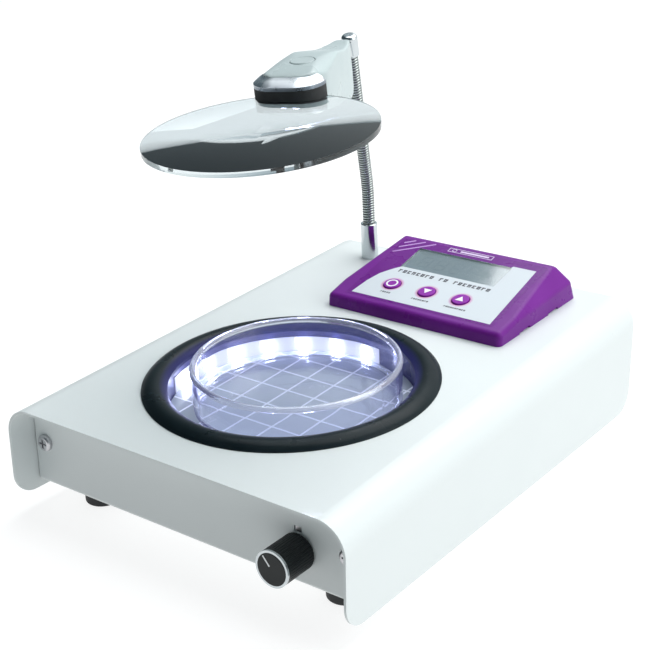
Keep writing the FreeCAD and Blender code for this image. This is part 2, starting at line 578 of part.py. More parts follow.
# ---------------------------------------------------------------- electronics in the case
def make_control_board():
    x0, x1, y0, y1 = BOARD
    board = block(x0, x1, y0, y1, BOARD_Z, BOARD_Z + 1.6)
    standoffs = []
    screws = []
    for x, y in BOARD_HOLES:
        board = board.cut(rod(1.7, (x, y, BOARD_Z - 1), (x, y, BOARD_Z + 3)))
        pillar = hexagon(5.5, 8, (x, y, TRAY_FLOOR), (0, 0, 1)).cut(rod(1.55, (x, y, 0), (x, y, 40)))
        standoffs.append(pillar)
        screws.append(pan_screw(1.5, 2.8, 1.8, 5, (x, y, BOARD_Z + 1.6), (0, 0, -1)))
        screws.append(pan_screw(1.5, 2.8, 1.8, 4.5, (x, y, FOOT_HEIGHT), (0, 0, 1)))
    save("control_board", board)
    save("board_standoffs", *standoffs)
    save("board_screws", *screws)
    top = BOARD_Z + 1.6
    parts = [block(x0 + 12, x0 + 20, y1 - 12, y1 - 2, top, top + 9),
             block(x1 - 30, x1 - 15, y0 + 1, y0 + 9, top, top + 9),
             block(x0 + 10, x0 + 25, y0 + 1, y0 + 9, top, top + 9),
             block(x1 - 22, x1 - 12, y1 - 14, y1 - 4, top, top + 4.5),
             rod(5.0, (x0 + 30, y1 - 14, top), (x0 + 30, y1 - 14, top + 12)),
             rod(4.0, (x0 + 42, y1 - 14, top), (x0 + 42, y1 - 14, top + 10)),
             block(-8, 2, y0 + 18, y0 + 28, top, top + 2)]
    save("board_components", *parts)


def make_power_inlet():
    def at(y):
        return (JACK_X, y, JACK_Z)
    barrel = rod(4.0, at(REAR_PANEL_Y - 13), at(REAR_PANEL_Y + 0.5))
    flange = rod(5.6, at(REAR_PANEL_Y), at(REAR_PANEL_Y + 1.8))
    jack = barrel.fuse(flange).cut(rod(2.8, at(REAR_PANEL_Y - 8), at(REAR_PANEL_Y + 3)))
    jack = jack.fuse(rod(1.0, at(REAR_PANEL_Y - 9), at(REAR_PANEL_Y + 0.8)))
    save("power_inlet", jack.removeSplitter())
    save("inlet_nut", nut(11.0, 4.05, 2.0, at(REAR_PANEL_Y - SHEET), (0, -1, 0)))


def make_leads():
    """Insulated leads inside the case, from the board to the inlet, dimmer, well and console."""
    x0, x1, y0, y1 = BOARD
    top = BOARD_Z + 1.6 + 4.5
    well_exit = WELL.multVec(Vector(WELL_RADIUS - 4, 0, GRID_TOP - 5.3))
    console_exit = CONSOLE_FRAME.multVec(Vector(0, CONSOLE_CABLE.y, 3.0))
    inlet = [Vector(JACK_X, REAR_PANEL_Y - 13.2, JACK_Z), Vector(JACK_X, REAR_PANEL_Y - 22, JACK_Z),
             Vector(x0 - 8, y1 - 7, top), Vector(x0 + 11.8, y1 - 7, top)]
    dimmer = [Vector(KNOB_X, PANEL_Y + SHEET + 9.3, KNOB_Z - 3), Vector(KNOB_X, PANEL_Y + 40, KNOB_Z - 6),
              Vector(x1 - 22.5, y0 - 30, top - 2), Vector(x1 - 22.5, y0 + 0.8, top)]
    lamp = [well_exit, Vector(well_exit.x, well_exit.y, well_exit.z - 12),
            Vector(x0 + 17.5, y0 - 24, top + 2), Vector(x0 + 17.5, y0 + 0.8, top)]
    console = [console_exit, Vector(console_exit.x, console_exit.y, console_exit.z - 18),
               Vector(x1 - 17, y1 - 9, top + 14), Vector(x1 - 17, y1 - 9, top + 0.2)]
    save("leads", *[swept_tube(1.1, route) for route in (inlet, dimmer, lamp, console)])


# ---------------------------------------------------------------- gooseneck
def neck_point(length):
    """Centreline point and direction at a length from the deck, in the neck's frame."""
    lean = math.radians(NECK_LEAN)
    arc_length = NECK_ARC_RADIUS * lean
    if length <= NECK_STRAIGHT:
        return Vector(0, 0, length), Vector(0, 0, 1)
    turned = min((length - NECK_STRAIGHT) / NECK_ARC_RADIUS, lean)
    point = Vector(NECK_ARC_RADIUS * (1 - math.cos(turned)), 0,
                   NECK_STRAIGHT + NECK_ARC_RADIUS * math.sin(turned))
    direction = Vector(math.sin(turned), 0, math.cos(turned))
    beyond = max(0.0, length - NECK_STRAIGHT - arc_length)
    return point + direction * beyond, direction


def neck_segment(start, end):
    """Bar along the centreline; a ball ends it at a bend and a cup starts it there."""
    arc_start = NECK_STRAIGHT
    arc_end = NECK_STRAIGHT + NECK_ARC_RADIUS * math.radians(NECK_LEAN)
    edges = []
    stops = sorted({start, end} | {m for m in (arc_start, arc_end) if start < m < end})
    for low, high in zip(stops, stops[1:]):
        first, last = neck_point(low)[0], neck_point(high)[0]
        if arc_start <= (low + high) / 2 <= arc_end:
            edges.append(Part.Arc(first, neck_point((low + high) / 2)[0], last).toShape())
        else:
            edges.append(Part.makeLine(first, last))
    first, direction = neck_point(start)
    circle = Part.Wire([Part.makeCircle(NECK_RADIUS, first, direction)])
    bar = Part.Wire(edges).makePipeShell([circle], True, False)
    if start in NECK_JOINTS:
        bar = bar.cut(Part.makeSphere(NECK_RADIUS + BALL_GAP, first))
    if end in NECK_JOINTS:
        bar = bar.fuse(Part.makeSphere(NECK_RADIUS, neck_point(end)[0]))
    return put(bar.removeSplitter(), NECK)


def make_neck():
    ferrule = tube(FERRULE_RADIUS, NECK_RADIUS + 0.05, (0, 0, 2), (0, 0, FERRULE_HEIGHT))
    ferrule = ferrule.fuse(rod(FERRULE_RADIUS, (0, 0, 0), (0, 0, 2.2)))
    edge = [e for e in ferrule.Edges if e.CenterOfMass.z > FERRULE_HEIGHT - 0.1 and e.Length > 28]
    ferrule = ferrule.makeFillet(0.6, edge)
    ferrule = ferrule.fuse(rod(3.5, (0, 0, -9), (0, 0, 1)))
    save("neck_ferrule", put(ferrule.removeSplitter(), NECK))
    save("neck_washer", put(tube(7.5, 3.6, (0, 0, -SHEET - 1.0), (0, 0, -SHEET)), NECK))
    save("neck_nut", put(nut(11.0, 3.55, 4.0, (0, 0, -SHEET - 1.0), (0, 0, -1)), NECK))
    stops = (2.4,) + NECK_JOINTS + (NECK_LENGTH - 2,)
    names = ("neck_root", "neck_lower", "neck_middle", "neck_upper", "neck_tip")
    for name, start, end in zip(names, stops, stops[1:]):
        save(name, neck_segment(start, end))


# ---------------------------------------------------------------- magnifier
CLAMP_SHIFT = 3.4            # the clamp pack sits this far to the left of the neck's plane
CLAMP = HEAD.multiply(Placement(Vector(0, -CLAMP_SHIFT, 0), Rotation()))
CLAMP_BACK = -50.5           # back and nose of the clamp pack, from the lens centre
CLAMP_NOSE = -37.3
CLAMP_HALF_WIDTH = 17.0
TRIM_LOW = 7.8
TRIM_BAND = 9.6
TRIM_TOP = 12.5
CLAMP_TOP = -4.2
CLAMP_LOW = -8.6
LENS_SCREWS = [(-45.0, -8.2), (-45.0, 8.2)]
SHELL_HALF_WIDTH = 13.5
SHELL_TOP = 14.6
BUTTON_P = -64.0
BUTTON_SIDE = 1.7
BUTTON_RADIUS = 6.0
NECK_CAP_RADIUS = 4.3
PIN_P = -115.0
PIN_Q = 2.0


def on_head(shape):
    return put(shape, CLAMP)


def clamp_outline(sides, front, low):
    """Plan outline of the clamp pack at a height, grown at its sides and its nose, as a wire."""
    half = CLAMP_HALF_WIDTH + sides
    nose = CLAMP_NOSE + front
    radius = 12.0 + sides
    mid = radius * math.sqrt(0.5)
    back = min(CLAMP_BACK, nose - radius - 0.5)
    points = [Vector(back, half, low), Vector(nose - radius, half, low), Vector(nose, half - radius, low),
              Vector(nose, -half + radius, low), Vector(nose - radius, -half, low), Vector(back, -half, low)]
    corners = [Vector(nose - radius + mid, side * (half - radius + mid), low) for side in (1, -1)]
    edges = [Part.makeLine(points[0], points[1]),
             Part.Arc(points[1], corners[0], points[2]).toShape(),
             Part.makeLine(points[2], points[3]),
             Part.Arc(points[3], corners[1], points[4]).toShape(),
             Part.makeLine(points[4], points[5]),
             Part.makeLine(points[5], points[0])]
    return Part.Wire(edges)


def in_front_of_back(shape):
    """The part of a clamp piece that lies in front of the pack's flat back."""
    return shape.common(block(CLAMP_BACK, 0, -40, 40, -40, 40))


def clamp_plate(grow, low, high):
    return in_front_of_back(Part.Face(clamp_outline(grow, grow, low)).extrude(Vector(0, 0, high - low)))


def lens_solid():
    """Biconvex round lens about its own centre."""
    edge = LENS_EDGE / 2
    crown = LENS_THICKNESS / 2
    rise = crown - edge
    dome = (LENS_RADIUS ** 2 + rise ** 2) / (2 * rise)
    middle = LENS_RADIUS / 2
    sag = crown - (dome - math.sqrt(dome ** 2 - middle ** 2))
    top = Part.Arc(Vector(0, 0, crown), Vector(middle, 0, sag), Vector(LENS_RADIUS, 0, edge)).toShape()
    low = Part.Arc(Vector(LENS_RADIUS, 0, -edge), Vector(middle, 0, -sag), Vector(0, 0, -crown)).toShape()
    rim = Part.makeLine(Vector(LENS_RADIUS, 0, edge), Vector(LENS_RADIUS, 0, -edge))
    axis = Part.makeLine(Vector(0, 0, -crown), Vector(0, 0, crown))
    lens = Part.Face(Part.Wire([top, rim, low, axis])).revolve(Vector(), Vector(0, 0, 1), 360)
    return put(lens, Placement(Vector(0, CLAMP_SHIFT, 0), Rotation()))


def make_lens_and_clamp():
    lens = lens_solid()
    gasket_top = max(clamp_plate(0.8, 0, TRIM_LOW).cut(lens).Solids, key=lambda s: s.BoundBox.ZMax)
    gasket_low = min(clamp_plate(0, CLAMP_TOP, 0).cut(lens).Solids, key=lambda s: s.BoundBox.ZMin)
    lower = clamp_plate(-0.5, CLAMP_LOW, CLAMP_TOP)
    trim = clamp_plate(0.8, TRIM_LOW, TRIM_BAND)
    band = Part.makeLoft([clamp_outline(0.8, 0.8, TRIM_BAND), clamp_outline(-2.6, -7.6, TRIM_TOP)],
                         True, True)
    trim = trim.fuse(in_front_of_back(band))
    for p, side in LENS_SCREWS:
        shank = rod(1.7, (p, side, CLAMP_LOW - 1), (p, side, TRIM_LOW))
        lens = lens.cut(shank)
        gasket_top = gasket_top.cut(shank)
        gasket_low = gasket_low.cut(shank)
        lower = lower.cut(shank)
        trim = trim.cut(rod(1.55, (p, side, TRIM_LOW - 1), (p, side, TRIM_TOP - 1.6)))
    leds = []
    for side in (-2.9, 2.9):
        foot = (-43.5, side, CLAMP_TOP - 0.2)
        lower = lower.cut(rod(2.6, (-43.5, side, CLAMP_LOW - 1), (-43.5, side, CLAMP_TOP + 1)))
        bulb = rod(2.5, (-43.5, side, CLAMP_LOW - 1.0), foot)
        leds.append(on_head(bulb.fuse(Part.makeSphere(2.5, Vector(-43.5, side, CLAMP_LOW - 1.0)))))
    save("magnifier_lens", on_head(lens))
    save("lens_gaskets", on_head(gasket_top), on_head(gasket_low))
    save("lower_clamp", on_head(lower))
    save("chrome_trim", on_head(trim.removeSplitter()))
    save("head_leds", *leds)
    length = TRIM_TOP - 2.4 - CLAMP_LOW
    screws = [on_head(pan_screw(1.5, 2.8, 1.6, length, (p, side, CLAMP_LOW), (0, 0, 1)))
              for p, side in LENS_SCREWS]
    save("lens_screws", *screws)


def shell_solid(inset):
    """The head's outer body, every wall moved inwards by the inset, in the head's frame."""
    profile = [(-114, -20), (-118.5, -3), (-122, -3), (-122, 9.5), (-119, 10.6), (-112, 9.4), (-101, 9.2),
               (-91, 12.0), (-82, SHELL_TOP), (-59, SHELL_TOP), (-46, 13.2), (-45, TRIM_TOP),
               (CLAMP_BACK, TRIM_TOP), (CLAMP_BACK, CLAMP_LOW)]
    width = SHELL_HALF_WIDTH
    tail = CLAMP_SHIFT
    plan = [(-123, tail + 4), (-60, width), (-53, width), (-48, width - 3.5), (-45, width - 9),
            (-45, 9 - width), (-48, 3.5 - width), (-53, -width), (-60, -width), (-123, tail - 4)]
    side_points = [Vector(p, -30, q) for p, q in profile]
    side_face = Part.Face(Part.makePolygon(side_points + side_points[:1]))
    plan_points = [Vector(p, r, -40) for p, r in plan]
    plan_face = Part.Face(Part.makePolygon(plan_points + plan_points[:1]))
    if inset:
        side_face = side_face.makeOffset2D(-inset)
        plan_face = plan_face.makeOffset2D(-inset)
    shell = side_face.extrude(Vector(0, 60, 0)).common(plan_face.extrude(Vector(0, 0, 80)))
    for side in (-1, 1):
        shoulder = Vector(-60, side * (width - 0.6 * inset), 9.5)
        shell = shell.cut(half_space(shoulder, Vector(0, side * 5.7, 5.5)))
    return shell


def neck_bar(radius, start, end):
    return put(rod(radius, neck_point(start)[0], neck_point(end)[0]), NECK)


def pin_bar(radius, reach):
    return rod(radius, (PIN_P, CLAMP_SHIFT - reach, PIN_Q), (PIN_P, CLAMP_SHIFT + reach, PIN_Q))


def make_head_shell():
    shell = shell_solid(0).cut(shell_solid(2.0).common(block(-108, -30, -30, 30, -30, 30)))
    lens_slot = block(CLAMP_BACK - 4.5, CLAMP_BACK + 1, -20, 20, -2.2, 2.2)
    shell = shell.cut(lens_slot)
    slot = block(-130, -109.5, CLAMP_SHIFT - 1.6, CLAMP_SHIFT + 1.6, PIN_Q - 4.6, PIN_Q + 4.6)
    shell = shell.cut(slot)
    shell = shell.cut(pin_bar(1.55, 12))
    shell = shell.cut(button_bore(BUTTON_RADIUS + 0.4, -4, 6))
    shell = put(shell, CLAMP).cut(neck_bar(NECK_CAP_RADIUS + 0.05, NECK_LENGTH - 9, NECK_LENGTH + 6))
    shell = max(shell.Solids, key=lambda s: s.Volume)
    save("head_shell", shell)


def make_neck_cap():
    end = neck_bar(NECK_CAP_RADIUS, NECK_LENGTH - 8.5, NECK_LENGTH + 3)
    top = max(end.Edges, key=lambda edge: edge.CenterOfMass.z)
    tongue = on_head(block(-130, -110, CLAMP_SHIFT - 1.5, CLAMP_SHIFT + 1.5, PIN_Q - 3, PIN_Q + 4.5))
    cap = end.makeFillet(2.0, [top]).fuse(tongue)
    cap = cap.cut(neck_bar(NECK_RADIUS + 0.03, NECK_LENGTH - 15, NECK_LENGTH - 1.9))
    cap = cap.cut(on_head(pin_bar(1.55, 12)))
    save("neck_cap", cap.removeSplitter())
    save("head_pin", on_head(pin_bar(1.5, 4.6)))


def button_bore(radius, low, high):
    """Round bar square to the head's top face at the lamp button."""
    return rod(radius, (BUTTON_P, BUTTON_SIDE, SHELL_TOP + low), (BUTTON_P, BUTTON_SIDE, SHELL_TOP + high))


def make_lamp_button():
    cap = button_bore(BUTTON_RADIUS, -3.2, 0.5)
    cap = cap.makeFillet(0.4, [e for e in cap.Edges if e.CenterOfMass.z > SHELL_TOP + 0.4])
    cap = cap.fuse(button_bore(BUTTON_RADIUS + 1.3, -3.2, -2.3))
    save("lamp_button", on_head(cap.removeSplitter()))
    board_low = SHELL_TOP - 8.0
    board = block(-80, -56, -6.0, 6.0, board_low, board_low + 1.0)
    switch = block(BUTTON_P - 3, BUTTON_P + 3, BUTTON_SIDE - 3, BUTTON_SIDE + 3, board_low + 1.0,
                   SHELL_TOP - 4.2)
    save("lamp_switch_board", on_head(board.fuse(switch).removeSplitter()))


make_top_cover()
make_chassis_tray()
make_cover_fixings()
make_feet()
make_well()
make_bezel()
make_led_strip()
make_petri_dish()
make_console_cover()
make_console_base()
make_overlay_and_display()
make_keys()
make_dimmer()
make_control_board()
make_power_inlet()
make_leads()
make_neck()
make_lens_and_clamp()
make_head_shell()
make_neck_cap()
make_lamp_button()
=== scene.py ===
"""Looks of the laboratory colony counter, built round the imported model.  Metres, +Z up."""
import json
import math

import bmesh
import bpy
from mathutils import Matrix, Vector


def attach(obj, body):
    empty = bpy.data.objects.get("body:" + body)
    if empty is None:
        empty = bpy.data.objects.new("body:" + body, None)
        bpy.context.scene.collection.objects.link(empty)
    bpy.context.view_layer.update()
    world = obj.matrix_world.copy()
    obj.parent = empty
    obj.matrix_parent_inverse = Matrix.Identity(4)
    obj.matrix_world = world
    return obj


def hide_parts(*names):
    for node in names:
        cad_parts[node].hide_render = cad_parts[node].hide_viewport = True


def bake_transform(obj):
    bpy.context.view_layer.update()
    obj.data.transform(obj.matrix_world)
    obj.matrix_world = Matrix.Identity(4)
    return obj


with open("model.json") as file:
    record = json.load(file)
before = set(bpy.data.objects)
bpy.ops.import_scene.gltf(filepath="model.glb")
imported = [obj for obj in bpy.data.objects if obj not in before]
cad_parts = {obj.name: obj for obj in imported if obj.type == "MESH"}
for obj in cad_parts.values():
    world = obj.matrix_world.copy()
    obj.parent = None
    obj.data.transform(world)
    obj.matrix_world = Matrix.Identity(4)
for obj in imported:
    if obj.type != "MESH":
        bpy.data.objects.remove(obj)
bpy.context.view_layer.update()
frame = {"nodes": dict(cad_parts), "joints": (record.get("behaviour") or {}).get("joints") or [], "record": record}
nodes = frame["nodes"]
joints = {joint["name"]: joint for joint in frame["joints"]}


# ---------------------------------------------------------------- local frames
def axes_matrix(origin, x, y, z):
    """Matrix of a local frame from its origin and its three axes."""
    matrix = Matrix((x, y, z)).transposed().to_4x4()
    matrix.translation = origin
    return matrix


CROSSWAYS = Vector((1, 0, 0))
FRONT_EDGE = Vector((0, -0.12675, 0.0566))    # front edge of the sloping deck
WELL_OFFSET = (-0.0004, 0.0917, 0)            # centre of the well on the deck
SLOPE_OFFSET = (0.0135, 0.175, 0.0072)        # foot of the console's sloping face on the deck
HEAD_PLACE = Vector((-0.0127, -0.0370, 0.1784))
CLAMP_OFFSET = (0, -0.0034, 0)                # the lens clamp's middle on the head

DECK_UP = Vector(joints["dish_lift"]["axis"]).normalized()
DECK_BACK = Vector((0, DECK_UP.z, -DECK_UP.y))
DECK = axes_matrix(FRONT_EDGE, CROSSWAYS, DECK_BACK, DECK_UP)
WELL = DECK @ Matrix.Translation(WELL_OFFSET)
SLOPE_UP = -Vector(joints["reset_press"]["axis"]).normalized()
SLOPE_BACK = Vector((0, SLOPE_UP.z, -SLOPE_UP.y))
SLOPE = axes_matrix(DECK @ Vector(SLOPE_OFFSET), CROSSWAYS, SLOPE_BACK, SLOPE_UP)

NECK_BENDS = [Vector(joints[name]["pos_m"])
              for name in ("neck_side_bend", "neck_lower_bend", "neck_upper_bend", "head_tilt")]
BEND_LENGTHS = (0.0305, 0.050, 0.071, 0.094)     # of the four bends, measured along the neck
FORWARD = Vector(joints["neck_side_bend"]["axis"]).normalized()
NECK_SIDE = DECK_UP.cross(FORWARD).normalized()
NECK_FOOT = NECK_BENDS[0] - DECK_UP * BEND_LENGTHS[0]
NECK = axes_matrix(NECK_FOOT, NECK_SIDE.cross(DECK_UP), NECK_SIDE, DECK_UP)
NECK_STRAIGHT = 0.034                            # then an arc, then straight again at the lean
NECK_ARC_RADIUS = 0.060
NECK_LEAN = math.radians(14)

LENS_UP = -Vector(joints["lamp_press"]["axis"]).normalized()
LENS_SIDE = LENS_UP.cross(FORWARD).normalized()
HEAD = axes_matrix(HEAD_PLACE, LENS_SIDE.cross(LENS_UP), LENS_SIDE, LENS_UP)
CLAMP = HEAD @ Matrix.Translation(CLAMP_OFFSET)


# ---------------------------------------------------------------- materials
RAMP_SOCKETS = ("From Min", "From Max", "To Min", "To Max")


class Paint:
    """A node material: one Principled shader, with textures in the object's own coordinates."""

    def __init__(self, name, color, roughness, metallic=0.0, **fixed):
        self.mat = bpy.data.materials.new(name)
        self.mat.use_nodes = True
        self.tree = self.mat.node_tree
        self.shader = self.tree.nodes["Principled BSDF"]
        self.color = (*color[:3], 1.0)
        self.set("Base Color", self.color)
        self.set("Roughness", roughness)
        self.set("Metallic", metallic)
        for socket, value in fixed.items():
            self.set(socket.replace("_", " "), value)
        self.coords = self.node("ShaderNodeTexCoord").outputs["Object"]
        self.normal = None

    def set(self, socket, value):
        self.shader.inputs[socket].default_value = value

    def node(self, kind, **settings):
        made = self.tree.nodes.new(kind)
        for key, value in settings.items():
            setattr(made, key, value)
        return made

    def link(self, source, target):
        self.tree.links.new(source, target)

    def local(self, matrix):
        """From here on the textures use the coordinates of a local frame, in metres."""
        mapping = self.node("ShaderNodeMapping", vector_type="TEXTURE")
        self.link(self.coords, mapping.inputs["Vector"])
        mapping.inputs["Location"].default_value = matrix.translation
        mapping.inputs["Rotation"].default_value = matrix.to_euler()
        self.coords = mapping.outputs["Vector"]

    def split(self):
        """The three coordinates as separate sockets."""
        parts = self.node("ShaderNodeSeparateXYZ")
        self.link(self.coords, parts.inputs[0])
        return parts.outputs

    def math(self, operation, *values):
        """One arithmetic step on sockets or plain numbers."""
        made = self.node("ShaderNodeMath", operation=operation)
        for index, value in enumerate(values):
            if hasattr(value, "is_output"):
                self.link(value, made.inputs[index])
            else:
                made.inputs[index].default_value = value
        return made.outputs[0]

    def distance(self, x, y):
        """Distance of a point in a plane from the origin."""
        return self.math("SQRT", self.math("ADD", self.math("MULTIPLY", x, x), self.math("MULTIPLY", y, y)))

    def noise(self, size, detail=3.0, rough=0.5, stretch=(1, 1, 1)):
        """Noise whose features are about size metres across."""
        mapping = self.node("ShaderNodeMapping")
        self.link(self.coords, mapping.inputs["Vector"])
        mapping.inputs["Scale"].default_value = stretch
        made = self.node("ShaderNodeTexNoise")
        self.link(mapping.outputs["Vector"], made.inputs["Vector"])
        made.inputs["Scale"].default_value = 0.5 / size
        made.inputs["Detail"].default_value = detail
        made.inputs["Roughness"].default_value = rough
        return made.outputs["Fac"]

    def ramp(self, value, low, high, to_low=0.0, to_high=1.0):
        """Runs from to_low to to_high while the value runs from low to high."""
        made = self.node("ShaderNodeMapRange")
        self.link(value, made.inputs["Value"])
        for socket, number in zip(RAMP_SOCKETS, (low, high, to_low, to_high)):
            made.inputs[socket].default_value = number
        return made.outputs["Result"]

    def tint(self, factor, color):
        """Mixes another colour into the base colour where the factor is high."""
        made = self.node("ShaderNodeMix", data_type="RGBA")
        self.link(factor, made.inputs["Factor"])
        source = self.current_color()
        if hasattr(source, "is_output"):
            self.link(source, made.inputs["A"])
        else:
            made.inputs["A"].default_value = source
        made.inputs["B"].default_value = (*color[:3], 1.0)
        self.link(made.outputs["Result"], self.shader.inputs["Base Color"])
        return self

    def current_color(self):
        links = self.shader.inputs["Base Color"].links
        return links[0].from_socket if links else self.color

    def worn(self, factor, low, high):
        """Roughness that runs from low to high with the factor."""
        self.link(self.ramp(factor, 0.3, 0.7, low, high), self.shader.inputs["Roughness"])
        return self

    def bump(self, height, distance):
        """Adds relief to the surface normal, distance metres deep."""
        made = self.node("ShaderNodeBump")
        made.inputs["Distance"].default_value = distance
        self.link(height, made.inputs["Height"])
        if self.normal:
            self.link(self.normal, made.inputs["Normal"])
        self.normal = made.outputs["Normal"]
        self.link(self.normal, self.shader.inputs["Normal"])
        return self

    def glow(self, color, strength):
        """Gives the surface light of its own."""
        self.set("Emission Color", (*color[:3], 1.0))
        self.set("Emission Strength", strength)

    def edges(self, color, radius, amount=0.5):
        """Lightens the edges, found by comparing bevelled and true normals."""
        bevel = self.node("ShaderNodeBevel", samples=4)
        bevel.inputs["Radius"].default_value = radius
        geometry = self.node("ShaderNodeNewGeometry")
        dot = self.node("ShaderNodeVectorMath", operation="DOT_PRODUCT")
        self.link(bevel.outputs["Normal"], dot.inputs[0])
        self.link(geometry.outputs["Normal"], dot.inputs[1])
        edge = self.ramp(dot.outputs["Value"], 0.98, 0.75, 0.0, amount)
        return self.tint(edge, color)


def moulded(name, color, roughness, grain=0.0003, depth=0.00001, **fixed):
    """Moulded plastic: fine spark-eroded grain, faint flow marks and an uneven sheen."""
    paint = Paint(name, color, roughness, **fixed)
    flow = paint.noise(0.018, 4.0)
    lighter = [min(1.0, c * 1.25 + 0.01) for c in color[:3]]
    paint.tint(paint.ramp(flow, 0.45, 0.75, 0.0, 0.5), lighter)
    paint.worn(paint.noise(0.006, 3.0), roughness * 0.85, min(1.0, roughness * 1.2))
    paint.bump(paint.noise(grain, 2.0), depth)
    return paint


def plated(name, color, roughness, brush=None, **fixed):
    """Plated or brushed metal: cloudy sheen, optional brush lines and fine scratches."""
    paint = Paint(name, color, roughness, metallic=1.0, **fixed)
    paint.worn(paint.noise(0.004, 4.0), roughness * 0.6, roughness * 1.6)
    darker = [c * 0.82 for c in color[:3]]
    paint.tint(paint.ramp(paint.noise(0.009, 3.0), 0.4, 0.75, 0.0, 0.6), darker)
    if brush:
        paint.bump(paint.noise(0.0002, 2.0, stretch=brush), 0.000004)
    return paint


def make_case_paint():
    """White powder coat, faintly clouded, with a fine orange-peel relief."""
    paint = Paint("case_white", (0.65, 0.69, 0.69), 0.42, Specular_IOR_Level=0.40, Coat_Weight=0.10)
    cloud = paint.noise(0.05, 3.0)
    paint.tint(paint.ramp(cloud, 0.4, 0.8, 0.0, 0.35), (0.62, 0.66, 0.66))
    speck = paint.noise(0.0016, 1.0)
    paint.tint(paint.ramp(speck, 0.80, 0.84, 0.0, 0.35), (0.50, 0.54, 0.54))
    paint.worn(paint.noise(0.02, 4.0), 0.36, 0.50)
    paint.bump(paint.noise(0.0007, 2.0), 0.000018)
    paint.edges((0.72, 0.76, 0.76), 0.0006, 0.35)
    return paint


def make_rubber():
    paint = moulded("black_rubber", (0.010, 0.012, 0.013), 0.62, grain=0.0005, depth=0.00003)
    paint.edges((0.10, 0.11, 0.11), 0.0006, 0.4)
    return paint


def make_bezel_paint():
    """Black moulding whose inner lip is tinted blue, painted light for the glow of the well's lamps."""
    paint = moulded("bezel_black", (0.006, 0.012, 0.015), 0.30, grain=0.0005, depth=0.000012,
                    Specular_IOR_Level=0.09)
    paint.tint(paint.ramp(paint.noise(0.0012, 1.0), 0.80, 0.83, 0.0, 0.5), (0.14, 0.15, 0.15))
    paint.edges((0.05, 0.06, 0.06), 0.0006, 0.3)
    paint.local(WELL)
    x, y, _ = paint.split()
    # painted light: blue tint on the inner lip, for the well's lamps shining on it
    paint.tint(paint.ramp(paint.distance(x, y), 0.0595, 0.0625, 0.9, 0.0), (0.03, 0.03, 0.13))
    return paint


def make_purple(name, color, roughness):
    """Purple moulding, paler along its edges."""
    paint = moulded(name, color, roughness, grain=0.0006, depth=0.000008, Specular_IOR_Level=0.13)
    paint.edges([min(1.0, c * 1.7 + 0.05) for c in color], 0.0007, 0.45)
    return paint


def make_board_green():
    """Circuit board: green resist over copper tracks, with a fibre weave."""
    paint = Paint("board_green", (0.03, 0.20, 0.09), 0.32, Specular_IOR_Level=0.5)
    x, y, _ = paint.split()
    tracks = paint.math("MULTIPLY",
                        paint.math("LESS_THAN", paint.math("PINGPONG", x, 0.0012), 0.00035),
                        paint.math("GREATER_THAN", paint.noise(0.010, 1.0, stretch=(1, 0.15, 1)), 0.5))
    paint.tint(tracks, (0.05, 0.30, 0.13))
    weave = paint.math("ADD", paint.math("PINGPONG", x, 0.0004), paint.math("PINGPONG", y, 0.0004))
    return paint.bump(weave, 0.01)


def make_lead_paint():
    """Lead insulation: each lead in its own colour, by where it runs."""
    paint = moulded("lead_insulation", (0.30, 0.02, 0.02), 0.45, grain=0.0004)
    x, y, _ = paint.split()
    paint.tint(paint.math("GREATER_THAN", y, 0.05), (0.02, 0.02, 0.02))
    paint.tint(paint.math("LESS_THAN", x, -0.03), (0.30, 0.02, 0.02))
    return paint


def make_grid_plate_paint():
    """Glossy dark counting plate, lightly hazed by wiping; its blue-grey base colour is set paler as painted light
    for the well lamps' light on it.
    """
    # painted light: the plate's own blue-grey raised paler for the lamps' light on it
    paint = Paint("grid_dark", (0.48, 0.54, 0.63), 0.10, Specular_IOR_Level=0.7)
    paint.worn(paint.noise(0.012, 5.0, 0.6, stretch=(1, 3, 1)), 0.07, 0.20)
    paint.tint(paint.ramp(paint.noise(0.02, 4.0), 0.45, 0.75, 0.0, 0.4), (0.54, 0.60, 0.69))
    return paint.bump(paint.noise(0.006, 2.0), 0.00001)


def make_strip_paint():
    """White flexible lamp tape with its printed cut lines and copper pads, glowing as painted light for the lamps'
    light spread over it.
    """
    paint = Paint("led_tape", (0.30, 0.31, 0.44), 0.35)
    paint.local(WELL)
    x, y, z = paint.split()
    cell, pad_half, pads_above = math.pi / 20, 0.012, -0.0085
    angle = paint.math("PINGPONG", paint.math("ARCTAN2", y, x), cell)
    near_cut = paint.math("LESS_THAN", angle, pad_half)
    pad = paint.math("MULTIPLY", near_cut, paint.math("GREATER_THAN", z, pads_above))
    paint.tint(pad, (0.75, 0.66, 0.58))
    # painted light: the tape glows, for the lamps' light spread over it
    paint.glow((0.80, 0.84, 1.0), 0.62)
    paint.worn(paint.noise(0.004, 3.0), 0.28, 0.45)
    return paint.bump(paint.noise(0.001, 2.0), 0.00001)


def make_led_paint():
    """Lamp bodies, lit: a bright die behind a yellow-white resin."""
    paint = Paint("led_white", (0.9, 0.9, 1.0), 0.25)
    paint.glow((0.62, 0.66, 1.0), 20.0)
    paint.tint(paint.ramp(paint.noise(0.001, 1.0), 0.45, 0.6), (0.95, 0.92, 0.80))
    return paint.bump(paint.noise(0.0006, 1.0), 0.00002)


def make_glass(name, color, ior, rough, wave_size, wave_depth, **fixed):
    """Clear glass with faint waviness and wiping marks."""
    paint = Paint(name, color, rough, Transmission_Weight=1.0, IOR=ior, **fixed)
    paint.worn(paint.noise(0.010, 4.0, 0.6, stretch=(1, 4, 1)), rough * 0.3, rough * 1.6)
    return paint.bump(paint.noise(wave_size, 1.5), wave_depth)


